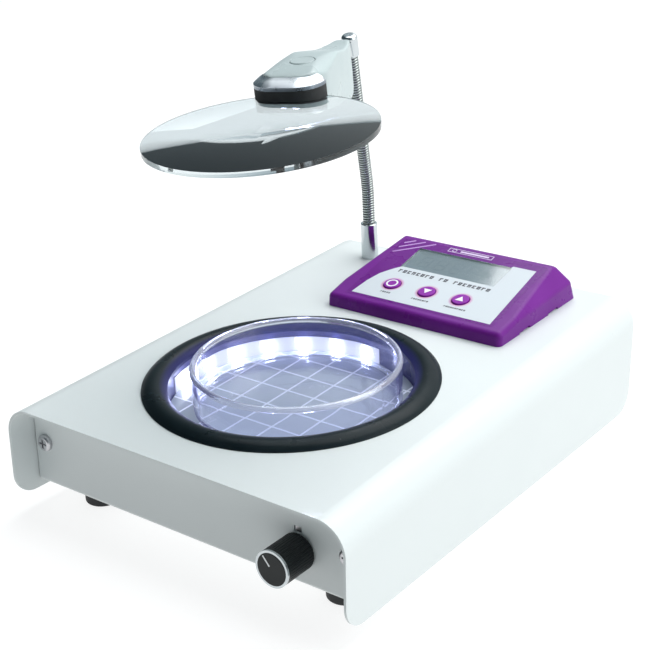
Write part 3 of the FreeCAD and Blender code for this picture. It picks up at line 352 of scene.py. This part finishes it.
def make_dish_paint():
    """Pressed glass with wavy walls, lit faintly blue by a painted glow that stands in for the lamps' light, and a
    milky white rim that is a painted highlight of the lit rim.
    """
    paint = make_glass("dish_glass", (0.97, 0.98, 1.0), 1.47, 0.02, 0.012, 0.0007)
    # painted light: faint blue glow of the glass, for the lamps' light in it
    paint.glow((0.40, 0.44, 1.0), 0.035)
    paint.local(WELL)
    z = paint.split()["Z"]
    # painted highlight: the rim turns partly opaque white, for the lamps' light on the rim
    paint.link(paint.ramp(z, 0.0060, 0.0068, 1.0, 0.80), paint.shader.inputs["Transmission Weight"])
    return paint


def make_display_paint():
    """Reflective display: grey-green cell with a faint dot pitch."""
    paint = Paint("lcd_grey", (0.34, 0.41, 0.46), 0.34, Specular_IOR_Level=0.12)
    paint.local(SLOPE)
    x, y, _ = paint.split()
    pitch = paint.math("MAXIMUM", paint.math("PINGPONG", x, 0.0003), paint.math("PINGPONG", y, 0.0003))
    paint.tint(paint.ramp(pitch, 0.00026, 0.0003, 0.0, 0.25), (0.29, 0.36, 0.40))
    paint.tint(paint.ramp(paint.noise(0.012, 2.0), 0.4, 0.8, 0.0, 0.5), (0.38, 0.45, 0.50))
    return paint


def make_head_paint():
    """Silver lacquer with a fine metallic fleck."""
    paint = Paint("head_silver", (0.40, 0.47, 0.475), 0.36, Specular_IOR_Level=0.3)
    paint.tint(paint.ramp(paint.noise(0.0004, 1.0), 0.55, 0.75, 0.0, 0.25), (0.52, 0.58, 0.58))
    paint.worn(paint.noise(0.012, 3.0), 0.24, 0.36)
    return paint.bump(paint.noise(0.0004, 1.0), 0.000004)


def make_materials():
    for imported in list(bpy.data.materials):
        bpy.data.materials.remove(imported)
    paints = [
        make_case_paint(),
        plated("steel", (0.58, 0.58, 0.60), 0.28, brush=(1, 1, 0.1)),
        make_rubber(),
        moulded("well_black", (0.085, 0.085, 0.24), 0.30, grain=0.0007, depth=0.00002),
        moulded("background_dark", (0.030, 0.034, 0.040), 0.22),
        make_grid_plate_paint(),
        make_bezel_paint(),
        make_strip_paint(),
        make_led_paint(),
        make_purple("console_purple", (0.150, 0.015, 0.235), 0.30),
        make_purple("key_purple", (0.240, 0.020, 0.330), 0.38),
        make_purple("panel_print", (0.128, 0.010, 0.205), 0.28),
        make_glass("window_clear", (0.88, 0.92, 0.92), 1.49, 0.06, 0.02, 0.00001,
                   Specular_IOR_Level=0.12),
        make_display_paint(),
        moulded("part_black", (0.025, 0.025, 0.025), 0.5),
        make_board_green(),
        plated("shaft_aluminium", (0.74, 0.74, 0.76), 0.30, brush=(1, 0.05, 1)),
        moulded("knob_black", (0.004, 0.007, 0.008), 0.42, grain=0.0003, depth=0.00001,
                Specular_IOR_Level=0.3).edges((0.07, 0.08, 0.08), 0.0004, 0.3),
        plated("chrome", (0.60, 0.64, 0.66), 0.13),
        moulded("print_white", (0.80, 0.82, 0.82), 0.5, grain=0.0002),
        plated("brass", (0.70, 0.50, 0.22), 0.26, brush=(1, 1, 0.1)),
        make_lead_paint(),
        make_head_paint(),
        make_glass("lens_glass", (0.74, 0.80, 0.82), 1.50, 0.02, 0.03, 0.000004),
        make_dish_paint(),
    ]
    return {paint.mat.name: paint.mat for paint in paints}


TRIM_LOW = 0.0078        # bottom and top of the plated trim, above the clamp's middle
TRIM_TOP = 0.0125


def make_trim_paint():
    """Satin plating, with painted reflections: darker and bluer towards the lower band, and a dark line along its
    top edge.
    """
    paint = plated("trim_satin", (0.78, 0.82, 0.85), 0.28)
    paint.local(CLAMP)
    z = paint.split()["Z"]
    # painted reflection: dark blue-grey lower band
    paint.tint(paint.ramp(z, TRIM_LOW + 0.0010, TRIM_LOW + 0.0036, 0.85, 0.0), (0.11, 0.14, 0.18))
    # painted reflection: dark line along the top edge
    paint.tint(paint.ramp(z, TRIM_TOP - 0.0012, TRIM_TOP - 0.0002, 0.0, 0.7), (0.25, 0.29, 0.32))
    return paint


def paint_cad_nodes(paints):
    slots = {entry["node"]: entry["material_slot"] for entry in frame["record"]["subparts"]}
    for name, node in nodes.items():
        node.data.materials.clear()
        node.data.materials.append(paints[slots[name]])
    nodes["chrome_trim"].data.materials[0] = make_trim_paint().mat


# ---------------------------------------------------------------- mesh helpers
def add_object(name, data):
    """An object in the scene that shows a mesh, a light or a camera."""
    made = bpy.data.objects.new(name, data)
    bpy.context.scene.collection.objects.link(made)
    return made


def closed_mesh(name, vertices, faces):
    """A mesh whose faces all point outwards."""
    mesh = bpy.data.meshes.new(name)
    mesh.from_pydata([tuple(v) for v in vertices], [], faces)
    mesh.validate()
    tidy = bmesh.new()
    tidy.from_mesh(mesh)
    bmesh.ops.recalc_face_normals(tidy, faces=tidy.faces)
    tidy.to_mesh(mesh)
    tidy.free()
    return mesh


def add_piece(name, vertices, faces, paint, body=None, smooth=False):
    """A mesh object with a material, on a body of the frame."""
    mesh = closed_mesh(name, vertices, faces)
    mesh.materials.append(paint)
    for polygon in mesh.polygons:
        polygon.use_smooth = smooth
    piece = add_object(name, mesh)
    if body:
        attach(piece, body)
    return piece


def plates(name, outlines, low, high, place, paint, slot, body):
    """Thin closed plates, one for each outline of (x, y) points, between two heights of a local frame."""
    vertices, faces = [], []
    for outline in outlines:
        start, count = len(vertices), len(outline)
        vertices += [place @ Vector((x, y, low)) for x, y in outline]
        vertices += [place @ Vector((x, y, high)) for x, y in outline]
        faces.append(tuple(range(start + count - 1, start - 1, -1)))
        faces.append(tuple(range(start + count, start + 2 * count)))
        for i in range(count):
            j = (i + 1) % count
            faces.append((start + i, start + j, start + count + j, start + count + i))
    return add_piece(name, vertices, faces, paint, body)


def circle_points(x, y, radius, count=48):
    turns = [2 * math.pi * i / count for i in range(count)]
    return [(x + radius * math.cos(turn), y + radius * math.sin(turn)) for turn in turns]


def washer(name, x, y, inner, outer, low, high, place, paint, body, count=64):
    """A flat ring between two heights of a local frame."""
    vertices, faces = [], []
    for i in range(count):
        angle = 2 * math.pi * i / count
        across, along = math.cos(angle), math.sin(angle)
        for radius, height in ((inner, low), (outer, low), (outer, high), (inner, high)):
            vertices.append(place @ Vector((x + radius * across, y + radius * along, height)))
    for i in range(count):
        a, b = 4 * i, 4 * ((i + 1) % count)
        for k in range(4):
            m = (k + 1) % 4
            faces.append((a + k, b + k, b + m, a + m))
    return add_piece(name, vertices, faces, paint, body)


# ---------------------------------------------------------------- gooseneck
def neck_point(length):
    """Centreline point and direction at a length along the neck."""
    if length <= NECK_STRAIGHT:
        return Vector((0, 0, length)), Vector((0, 0, 1))
    turned = min((length - NECK_STRAIGHT) / NECK_ARC_RADIUS, NECK_LEAN)
    beyond = max(0.0, length - NECK_STRAIGHT - NECK_ARC_RADIUS * NECK_LEAN)
    direction = Vector((math.sin(turned), 0, math.cos(turned)))
    point = Vector((NECK_ARC_RADIUS * (1 - math.cos(turned)), 0,
                    NECK_STRAIGHT + NECK_ARC_RADIUS * math.sin(turned)))
    return point + direction * beyond, direction


NECK_RADIUS = 0.0035
NECK_SIDES = 32
RIB_PITCH = 0.0015
RIB_DEPTH = 0.0008
RIB_STEPS = 8                         # rings of points in one pitch


# painted shade: the dark inner tube stands in for the shade deep in the grooves
SHADE_CORE_RADIUS = NECK_RADIUS - 0.0002    # the dark tube that shows in the grooves
WIRE_ROUND = 0.97                     # under 1, so that a groove's walls are never quite vertical


def wound_radius(length, turn):
    """Radius of the wound wire at a length and a fraction of a turn."""
    along = (length / RIB_PITCH - turn) % 1.0
    across = 2 * along - 1
    return NECK_RADIUS - RIB_DEPTH * (1 - math.sqrt(1 - WIRE_ROUND * across * across))


SHADE_CORE_INSET = 0.0002                   # the core stops short of the wire's ends
NECK_STOPS = (0.0175, 0.0400, 0.0605, 0.0825, 0.1300)      # where one tube ends and the next begins
NECK_NODES = (("neck_root",), ("neck_lower",), ("neck_middle",), ("neck_upper", "neck_tip"))


def neck_tube(name, start, end, paint, shape):
    """Tube over one bend, where two bodies meet; shape gives its radius."""
    count = max(8, round((end - start) / RIB_PITCH * RIB_STEPS))
    vertices, faces = [], []
    for i in range(count + 1):
        length = start + (end - start) * i / count
        centre, direction = neck_point(length)
        across = Vector((direction.z, 0, -direction.x))
        for k in range(NECK_SIDES):
            turn = k / NECK_SIDES
            radius = shape(length, turn)
            angle = 2 * math.pi * turn
            offset = across * (radius * math.cos(angle)) + Vector((0, radius * math.sin(angle), 0))
            vertices.append(NECK @ (centre + offset))
    for i in range(count):
        for k in range(NECK_SIDES):
            m = (k + 1) % NECK_SIDES
            a, b = i * NECK_SIDES, (i + 1) * NECK_SIDES
            faces.append((a + k, a + m, b + m, b + k))
    faces.append(tuple(range(NECK_SIDES - 1, -1, -1)))
    faces.append(tuple(range(count * NECK_SIDES, (count + 1) * NECK_SIDES)))
    tube = add_piece(name, vertices, faces, paint, smooth=True)
    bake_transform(tube)
    return tube


def make_neck():
    """The wound wire in place of the plain CAD stretches, with a dark inner tube under it whose colour is painted
    shade for its grooves.
    """
    wire = plated("neck_steel", (0.46, 0.50, 0.49), 0.16).mat
    # painted shade: dark paint of the inner tube seen between the wire's turns
    groove = moulded("neck_groove", (0.035, 0.042, 0.045), 0.45, grain=0.0004).mat
    for i, replaced in enumerate(NECK_NODES):
        start, end = NECK_STOPS[i], NECK_STOPS[i + 1]
        skin = neck_tube("wound_neck_%d" % (i + 1), start, end, wire, wound_radius)
        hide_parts(*replaced)
        neck_tube("neck_shade_core_%d" % (i + 1), start + SHADE_CORE_INSET, end - SHADE_CORE_INSET, groove,
                  lambda length, turn: SHADE_CORE_RADIUS)


# ---------------------------------------------------------------- magnifier head
def prism(points, axis, low, high, place):
    """Closed prism of an outline, along a local axis; the outline is in the other two, in order."""
    vertices = []
    for level in (low, high):
        for a, b in points:
            local = {"x": (level, a, b), "y": (a, level, b), "z": (a, b, level)}[axis]
            vertices.append(place @ Vector(local))
    count = len(points)
    faces = [tuple(range(count - 1, -1, -1)), tuple(range(count, 2 * count))]
    faces += [(i, (i + 1) % count, count + (i + 1) % count, count + i) for i in range(count)]
    return add_object("prism", closed_mesh("prism", vertices, faces))


def apply_modifiers(piece):
    graph = bpy.context.evaluated_depsgraph_get()
    mesh = bpy.data.meshes.new_from_object(piece.evaluated_get(graph))
    piece.modifiers.clear()
    piece.data = mesh


def combine(piece, others, operation):
    """Boolean with other objects, which are then removed."""
    for other in others:
        cut = piece.modifiers.new("cut", "BOOLEAN")
        cut.operation = operation
        cut.solver = "EXACT"
        cut.object = other
    apply_modifiers(piece)
    for other in others:
        bpy.data.objects.remove(other)


def finish_solid(piece, name, paint):
    """Names and paints a solid that booleans have left with mixed or missing materials."""
    piece.name = name
    piece.data.materials.clear()
    piece.data.materials.append(paint)
    for polygon in piece.data.polygons:
        polygon.material_index = 0


BUTTON_P = -0.0640       # middle of the lamp button, along the head and sideways
BUTTON_SIDE = 0.0017
BUTTON_BORE = 0.0064
BORE_REACH = (0.0095, 0.0200)        # from inside the shell to above it
SWITCH_POCKET = 0.0077
POCKET_REACH = (0.0099, 0.0126)
SHELL_VOXEL = 0.0005


def rounded(points, times=3):
    """Closed outline with its corners cut again and again until it runs smoothly."""
    for _ in range(times):
        cut = []
        for (ax, ay), (bx, by) in zip(points, points[1:] + points[:1]):
            cut.append((0.75 * ax + 0.25 * bx, 0.75 * ay + 0.25 * by))
            cut.append((0.25 * ax + 0.75 * bx, 0.25 * ay + 0.75 * by))
        points = cut
    return points


def make_head(paints):
    """The moulded head: its side, plan and front outlines crossed, then rounded all over."""
    side = [(-0.1145, -0.0205), (-0.1180, -0.0040), (-0.1222, -0.0030), (-0.1222, 0.0080), (-0.1205, 0.0102),
            (-0.1170, 0.0103), (-0.1120, 0.0097), (-0.1010, 0.0101), (-0.0910, 0.0124), (-0.0810, 0.0146),
            (-0.0700, 0.0151), (-0.0600, 0.0149), (-0.0500, 0.0140), (-0.0455, 0.0131), (-0.0440, 0.0124),
            (-0.0440, 0.0112), (-0.0480, 0.0112), (-0.0480, -0.0085)]
    plan = [(-0.1230, 0.0078), (-0.0850, 0.0128), (-0.0640, 0.0152), (-0.0560, 0.0155), (-0.0490, 0.0138),
            (-0.0445, 0.0095), (-0.0432, 0.0030), (-0.0432, -0.0030), (-0.0445, -0.0095), (-0.0490, -0.0138),
            (-0.0560, -0.0155), (-0.0640, -0.0152), (-0.0850, -0.0090), (-0.1230, -0.0010)]
    front = [(-0.0175, -0.0300), (-0.0172, 0.0060), (-0.0158, 0.0108), (-0.0115, 0.0140), (-0.0050, 0.0153),
             (0.0050, 0.0154), (0.0110, 0.0146), (0.0152, 0.0118), (0.0168, 0.0070), (0.0170, -0.0300)]
    shell = prism(rounded(side, 2), "y", -0.03, 0.03, CLAMP)
    combine(shell, [prism(rounded(plan), "z", -0.04, 0.04, CLAMP),
                    prism(rounded(front), "x", -0.14, -0.03, CLAMP)], "INTERSECT")
    remesh = shell.modifiers.new("remesh", "REMESH")
    remesh.mode = "VOXEL"
    remesh.voxel_size = SHELL_VOXEL
    soften = shell.modifiers.new("soften", "SMOOTH")
    soften.factor = 0.5
    soften.iterations = 24
    apply_modifiers(shell)
    bore = prism(circle_points(BUTTON_P, BUTTON_SIDE, BUTTON_BORE, 64), "z", *BORE_REACH, CLAMP)
    pocket = prism(circle_points(BUTTON_P, BUTTON_SIDE, SWITCH_POCKET, 64), "z", *POCKET_REACH, CLAMP)
    combine(shell, [bore, pocket], "DIFFERENCE")
    for polygon in shell.data.polygons:
        polygon.use_smooth = True
    finish_solid(shell, "head_body", paints["head_silver"])
    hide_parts("head_shell")
    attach(shell, "magnifier")


# ---------------------------------------------------------------- printed artwork
GRID_PITCH = 0.0160
GRID_LINE = 0.0011
GRID_RADIUS = 0.0592
GRID_TOP = -0.0130       # top of the plate below the deck
GRID_SHIFT = 0.45        # of a pitch, so that no line crosses the middle


def make_counting_grid(paints):
    """Printed lines of the counting grid, clipped to the round plate."""
    outlines = []
    half = GRID_LINE / 2
    for i in range(-4, 5):
        offset = (i + GRID_SHIFT) * GRID_PITCH
        if abs(offset) + half >= GRID_RADIUS:
            continue
        reach = [math.sqrt(GRID_RADIUS ** 2 - (offset + side * half) ** 2) for side in (-1, 1)]
        outlines.append([(offset - half, -reach[0]), (offset + half, -reach[1]),
                         (offset + half, reach[1]), (offset - half, reach[0])])
    plates("grid_lines_long", outlines, GRID_TOP + 0.00001, GRID_TOP + 0.00004, WELL,
           paints["grid_print"], "print_white", "base")
    across = [[(y, x) for x, y in outline] for outline in outlines]
    plates("grid_lines_cross", across, GRID_TOP + 0.00001, GRID_TOP + 0.00005, WELL,
           paints["grid_print"], "print_white", "base")


FILM = 0.0001            # top of the console's film above the sloping face
KEY_ROW = 0.0176
KEY_HOLE = 0.00502
KEY_HEIGHT = 0.0008      # of the key caps above the film
KEYS = {"reset_button": -0.024, "down_button": -0.0025, "up_button": 0.018}
TITLE_ROW = 0.0296       # the printed rows, up the slope
CAPTION_ROW = 0.0091
SEGMENT_DEPTH = (-0.00205, -0.00201)    # bottom and top of the digits, just under the window


def make_label(paints):
    """White printed area of the console, with its swept left edge, and holes for the keys and the window."""
    sweep = [(-0.0291, 0.0350), (-0.0331, 0.0303), (-0.0368, 0.0247), (-0.0393, 0.0160), (-0.0408, 0.0037)]
    outline = [(0.0431, 0.0037), (0.0408, 0.0561), (0.0271, 0.0561), (0.0271, 0.0350)] + sweep
    label = prism(outline, "z", FILM + 0.00001, FILM + 0.00005, SLOPE)
    holes = [prism(circle_points(x, KEY_ROW, KEY_HOLE), "z", 0, 0.001, SLOPE) for x in KEYS.values()]
    combine(label, holes, "DIFFERENCE")
    finish_solid(label, "console_label", paints["label_white"])
    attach(label, "base")


def slanted_bar(x0, x1, y0, y1, slant):
    """Four corners of a bar whose top is shifted sideways."""
    return [(x0, y0), (x1, y0), (x1 + slant, y1), (x0 + slant, y1)]


def letter_strokes(x0, x1, y0, height, pitch, stroke):
    """Rows of small open boxes that stand in for lettering without spelling anything."""
    strokes = []
    count = round((x1 - x0) / pitch)
    width = pitch * 0.68
    lean = height * 0.12
    for i in range(count):
        x = x0 + i * pitch
        strokes.append(slanted_bar(x, x + stroke, y0, y0 + height, lean))
        strokes.append(slanted_bar(x, x + width, y0 + height - stroke, y0 + height, lean * 0.1))
        if i % 2:
            strokes.append(slanted_bar(x + width - stroke, x + width, y0, y0 + height, lean))
        if i % 3:
            strokes.append(slanted_bar(x, x + width, y0, y0 + stroke, lean * 0.1))
    return strokes


def diagonal(x0, y0, x1, y1, width):
    """Four corners of a straight line of some width."""
    run = Vector((x1 - x0, y1 - y0)).normalized()
    nx, ny = -run.y * width / 2, run.x * width / 2
    return [(x0 + nx, y0 + ny), (x0 - nx, y0 - ny), (x1 - nx, y1 - ny), (x1 + nx, y1 + ny)]


def make_console_print(paints):
    """Title, captions, corner stripes and a plain badge; none of it says anything."""
    low, high = FILM + 0.00006, FILM + 0.00009
    title = []
    for a, b in ((-0.0285, -0.0060), (-0.0030, 0.0028), (0.0058, 0.0272)):
        title += letter_strokes(a, b, TITLE_ROW, 0.0027, 0.0028, 0.0008)
    plates("title_strokes", title, low, high, SLOPE, paints["ink_dark"], "print_white", "base")
    captions = []
    for a, b in ((-0.0264, -0.0196), (-0.0070, 0.0030), (0.0126, 0.0250)):
        captions += letter_strokes(a, b, CAPTION_ROW, 0.0012, 0.0013, 0.0004)
    plates("caption_strokes", captions, low, high, SLOPE, paints["ink_dark"], "print_white", "base")
    on_film, over_film = FILM + 0.00001, FILM + 0.00005
    stripes = [diagonal(-0.0431, 0.0467, -0.0240, 0.0615, 0.0011),
               diagonal(-0.0425, 0.0522, -0.0307, 0.0616, 0.0011),
               diagonal(-0.0420, 0.0570, -0.0368, 0.0612, 0.0011)]
    plates("corner_stripes", stripes, on_film, over_film, SLOPE, paints["ink_lilac"], "print_white", "base")
    badge = [slanted_bar(-0.0140, 0.0126, 0.0610, 0.0614, 0), slanted_bar(-0.0140, 0.0126, 0.0576, 0.0580, 0),
             slanted_bar(-0.0144, -0.0140, 0.0576, 0.0614, 0), slanted_bar(0.0126, 0.0130, 0.0576, 0.0614, 0),
             slanted_bar(-0.0070, 0.0105, 0.0588, 0.0602, 0)]
    plates("plain_badge", badge, on_film, over_film, SLOPE, paints["ink_pale"], "print_white", "base")
    washer("badge_ring", -0.0108, 0.0595, 0.0010, 0.0014, on_film, over_film, SLOPE, paints["ink_pale"],
           "base")


def make_key_marks(paints):
    """A ring on the reset key, and triangles pointing down and up on the others."""
    top = FILM + KEY_HEIGHT
    reach = 0.0023
    for body, x in KEYS.items():
        if body == "reset_button":
            washer("reset_ring", x, KEY_ROW, 0.0024, 0.0033, top, top + 0.00005, SLOPE, paints["print_white"],
                   body)
            continue
        way = 1 if body == "up_button" else -1
        triangle = [(x - reach, KEY_ROW - way * reach * 0.75), (x + reach, KEY_ROW - way * reach * 0.75),
                    (x, KEY_ROW + way * reach * 0.95)]
        plates(body + "_mark", [triangle[::way]], top, top + 0.00005, SLOPE, paints["print_white"],
               "print_white", body)


def make_display_marks(paints):
    """Faint seven-segment digits inside the display, all segments at rest."""
    outlines = []
    digits, pitch = 5, 0.0098
    width, height, thick = 0.0056, 0.0105, 0.0009
    for i in range(digits):
        x0, y0 = -0.0235 + i * pitch, 0.0392
        for level in range(3):
            y = y0 + level * (height - thick) / 2
            outlines.append(slanted_bar(x0 + thick * 1.3, x0 + width - thick * 0.3, y, y + thick, 0.0001))
        for column in range(2):
            for level in range(2):
                x = x0 + column * width
                y = y0 + thick * 1.2 + level * (height - thick) / 2
                outlines.append(slanted_bar(x, x + thick, y, y + height / 2 - thick * 1.8, 0.0003))
    plates("display_segments", outlines, *SEGMENT_DEPTH, SLOPE, paints["segment_grey"], "lcd_grey", "base")


def make_print_paints(paints):
    """Paints of the printed artwork, added to the others by name."""
    label = Paint("label_white", (0.59, 0.64, 0.68), 0.42, Specular_IOR_Level=0.2)
    label.local(SLOPE)
    x, y, _ = label.split()
    for centre in KEYS.values():
        dx = label.math("SUBTRACT", x, centre)
        dy = label.math("SUBTRACT", y, KEY_ROW)
        halo = label.ramp(label.distance(dx, dy), 0.0050, 0.0066, 0.85, 0.0)
        label.tint(halo, (0.55, 0.10, 0.38))
    label.tint(label.ramp(label.noise(0.01, 3.0), 0.45, 0.8, 0.0, 0.3), (0.59, 0.63, 0.66))
    label.bump(label.noise(0.0003, 1.0), 0.000004)
    ink_dark = moulded("ink_dark", (0.05, 0.05, 0.07), 0.5, grain=0.0001)
    ink_lilac = moulded("ink_lilac", (0.42, 0.22, 0.55), 0.45, grain=0.0001)
    ink_pale = moulded("ink_pale", (0.62, 0.52, 0.72), 0.45, grain=0.0001)
    grid = Paint("grid_print", (0.75, 0.80, 0.90), 0.45)
    grid.tint(grid.ramp(grid.noise(0.003, 3.0), 0.5, 0.8, 0.0, 0.5), (0.55, 0.62, 0.75))
    # painted light: the printed lines glow, for the well lamps' light on them
    grid.glow((0.75, 0.80, 1.0), 0.15)
    segment = Paint("segment_grey", (0.26, 0.33, 0.37), 0.35, Specular_IOR_Level=0.12)
    segment.tint(segment.noise(0.004, 2.0), (0.32, 0.39, 0.44))
    for paint in (label, ink_dark, ink_lilac, ink_pale, grid, segment):
        paints[paint.mat.name] = paint.mat


# ---------------------------------------------------------------- studio
BRIGHT_SIDE = Vector((0.55, 0.83, 0.0))      # to the right and behind
FRONT_TONE = (0.60, 0.86, 1.0, 1.0)
BACK_TONE = (0.96, 1.0, 1.0, 1.0)
FLOOR_REACH = 30.0


def make_world():
    """Surroundings pale to the right and behind, dim and bluish in front, for glass and chrome to show."""
    world = bpy.data.worlds.new("studio")
    bpy.context.scene.world = world
    world.use_nodes = True
    tree = world.node_tree
    coords = tree.nodes.new("ShaderNodeTexCoord")
    dot = tree.nodes.new("ShaderNodeVectorMath")
    dot.operation = "DOT_PRODUCT"
    dot.inputs[1].default_value = BRIGHT_SIDE
    tree.links.new(coords.outputs["Generated"], dot.inputs[0])
    side = tree.nodes.new("ShaderNodeMapRange")
    side.interpolation_type = "SMOOTHSTEP"
    tree.links.new(dot.outputs["Value"], side.inputs["Value"])
    for socket, number in zip(RAMP_SOCKETS, (-0.30, 0.80, 0.11, 1.02)):
        side.inputs[socket].default_value = number
    tree.links.new(side.outputs["Result"], tree.nodes["Background"].inputs["Strength"])
    tone = tree.nodes.new("ShaderNodeMix")
    tone.data_type = "RGBA"
    tone.inputs["A"].default_value = FRONT_TONE
    tone.inputs["B"].default_value = BACK_TONE
    tree.links.new(side.outputs["Result"], tone.inputs["Factor"])
    tree.links.new(tone.outputs["Result"], tree.nodes["Background"].inputs["Color"])


def make_floor():
    """A plain pale floor that gives off some light, so that it stays white round the part."""
    corners = [(x * FLOOR_REACH, y * FLOOR_REACH, 0) for x, y in ((-1, -1), (1, -1), (1, 1), (-1, 1))]
    mesh = bpy.data.meshes.new("floor")
    mesh.from_pydata(corners, [], [(0, 1, 2, 3)])
    floor = add_object("floor", mesh)
    paint = Paint("floor", (0.22, 0.225, 0.225), 0.7)
    paint.glow((1.0, 1.0, 1.0), 0.84)
    paint.tint(paint.ramp(paint.noise(0.2, 2.0), 0.4, 0.8, 0.0, 0.2), (0.20, 0.205, 0.205))
    mesh.materials.append(paint.mat)


def soft_light(name, position, size, power):
    """A rectangular light aimed at the part."""
    light = bpy.data.lights.new(name, "AREA")
    light.shape = "RECTANGLE"
    light.size, light.size_y = size
    light.energy = power
    lamp = add_object(name, light)
    lamp.location = position
    aim = Vector((0, 0, 0.05)) - Vector(position)
    lamp.rotation_euler = aim.to_track_quat("-Z", "Y").to_euler()


def make_camera():
    """Camera at the photograph's viewing angle, solved from the case's edges."""
    position = Vector((0.3638, -0.48975, 0.3207))
    azimuth, elevation, roll = -0.6475, 0.3797, -0.0163
    ahead = Vector((math.sin(azimuth) * math.cos(elevation), math.cos(azimuth) * math.cos(elevation),
                    -math.sin(elevation)))
    flat = ahead.cross(Vector((0, 0, 1))).normalized()
    upright = flat.cross(ahead)
    right = flat * math.cos(roll) + upright * math.sin(roll)
    up = upright * math.cos(roll) - flat * math.sin(roll)
    data = bpy.data.cameras.new("camera")
    data.sensor_width = 36
    data.lens = 74.55
    data.clip_start = 0.01
    data.clip_end = 100
    camera = add_object("camera", data)
    camera.matrix_world = axes_matrix(position, right, up, -ahead)
    bpy.context.scene.camera = camera


def main():
    paints = make_materials()
    make_print_paints(paints)
    paint_cad_nodes(paints)
    make_neck()
    make_head(paints)
    make_counting_grid(paints)
    make_label(paints)
    make_console_print(paints)
    make_key_marks(paints)
    make_display_marks(paints)
    make_world()
    make_floor()
    soft_light("overhead", (-0.02, 0.58, 1.5), (1.5, 1.5), 28)
    soft_light("right", (1.5, 0.4, 0.9), (1.2, 1.2), 12)
    make_camera()
    bpy.context.scene.view_settings.view_transform = "Standard"


main()
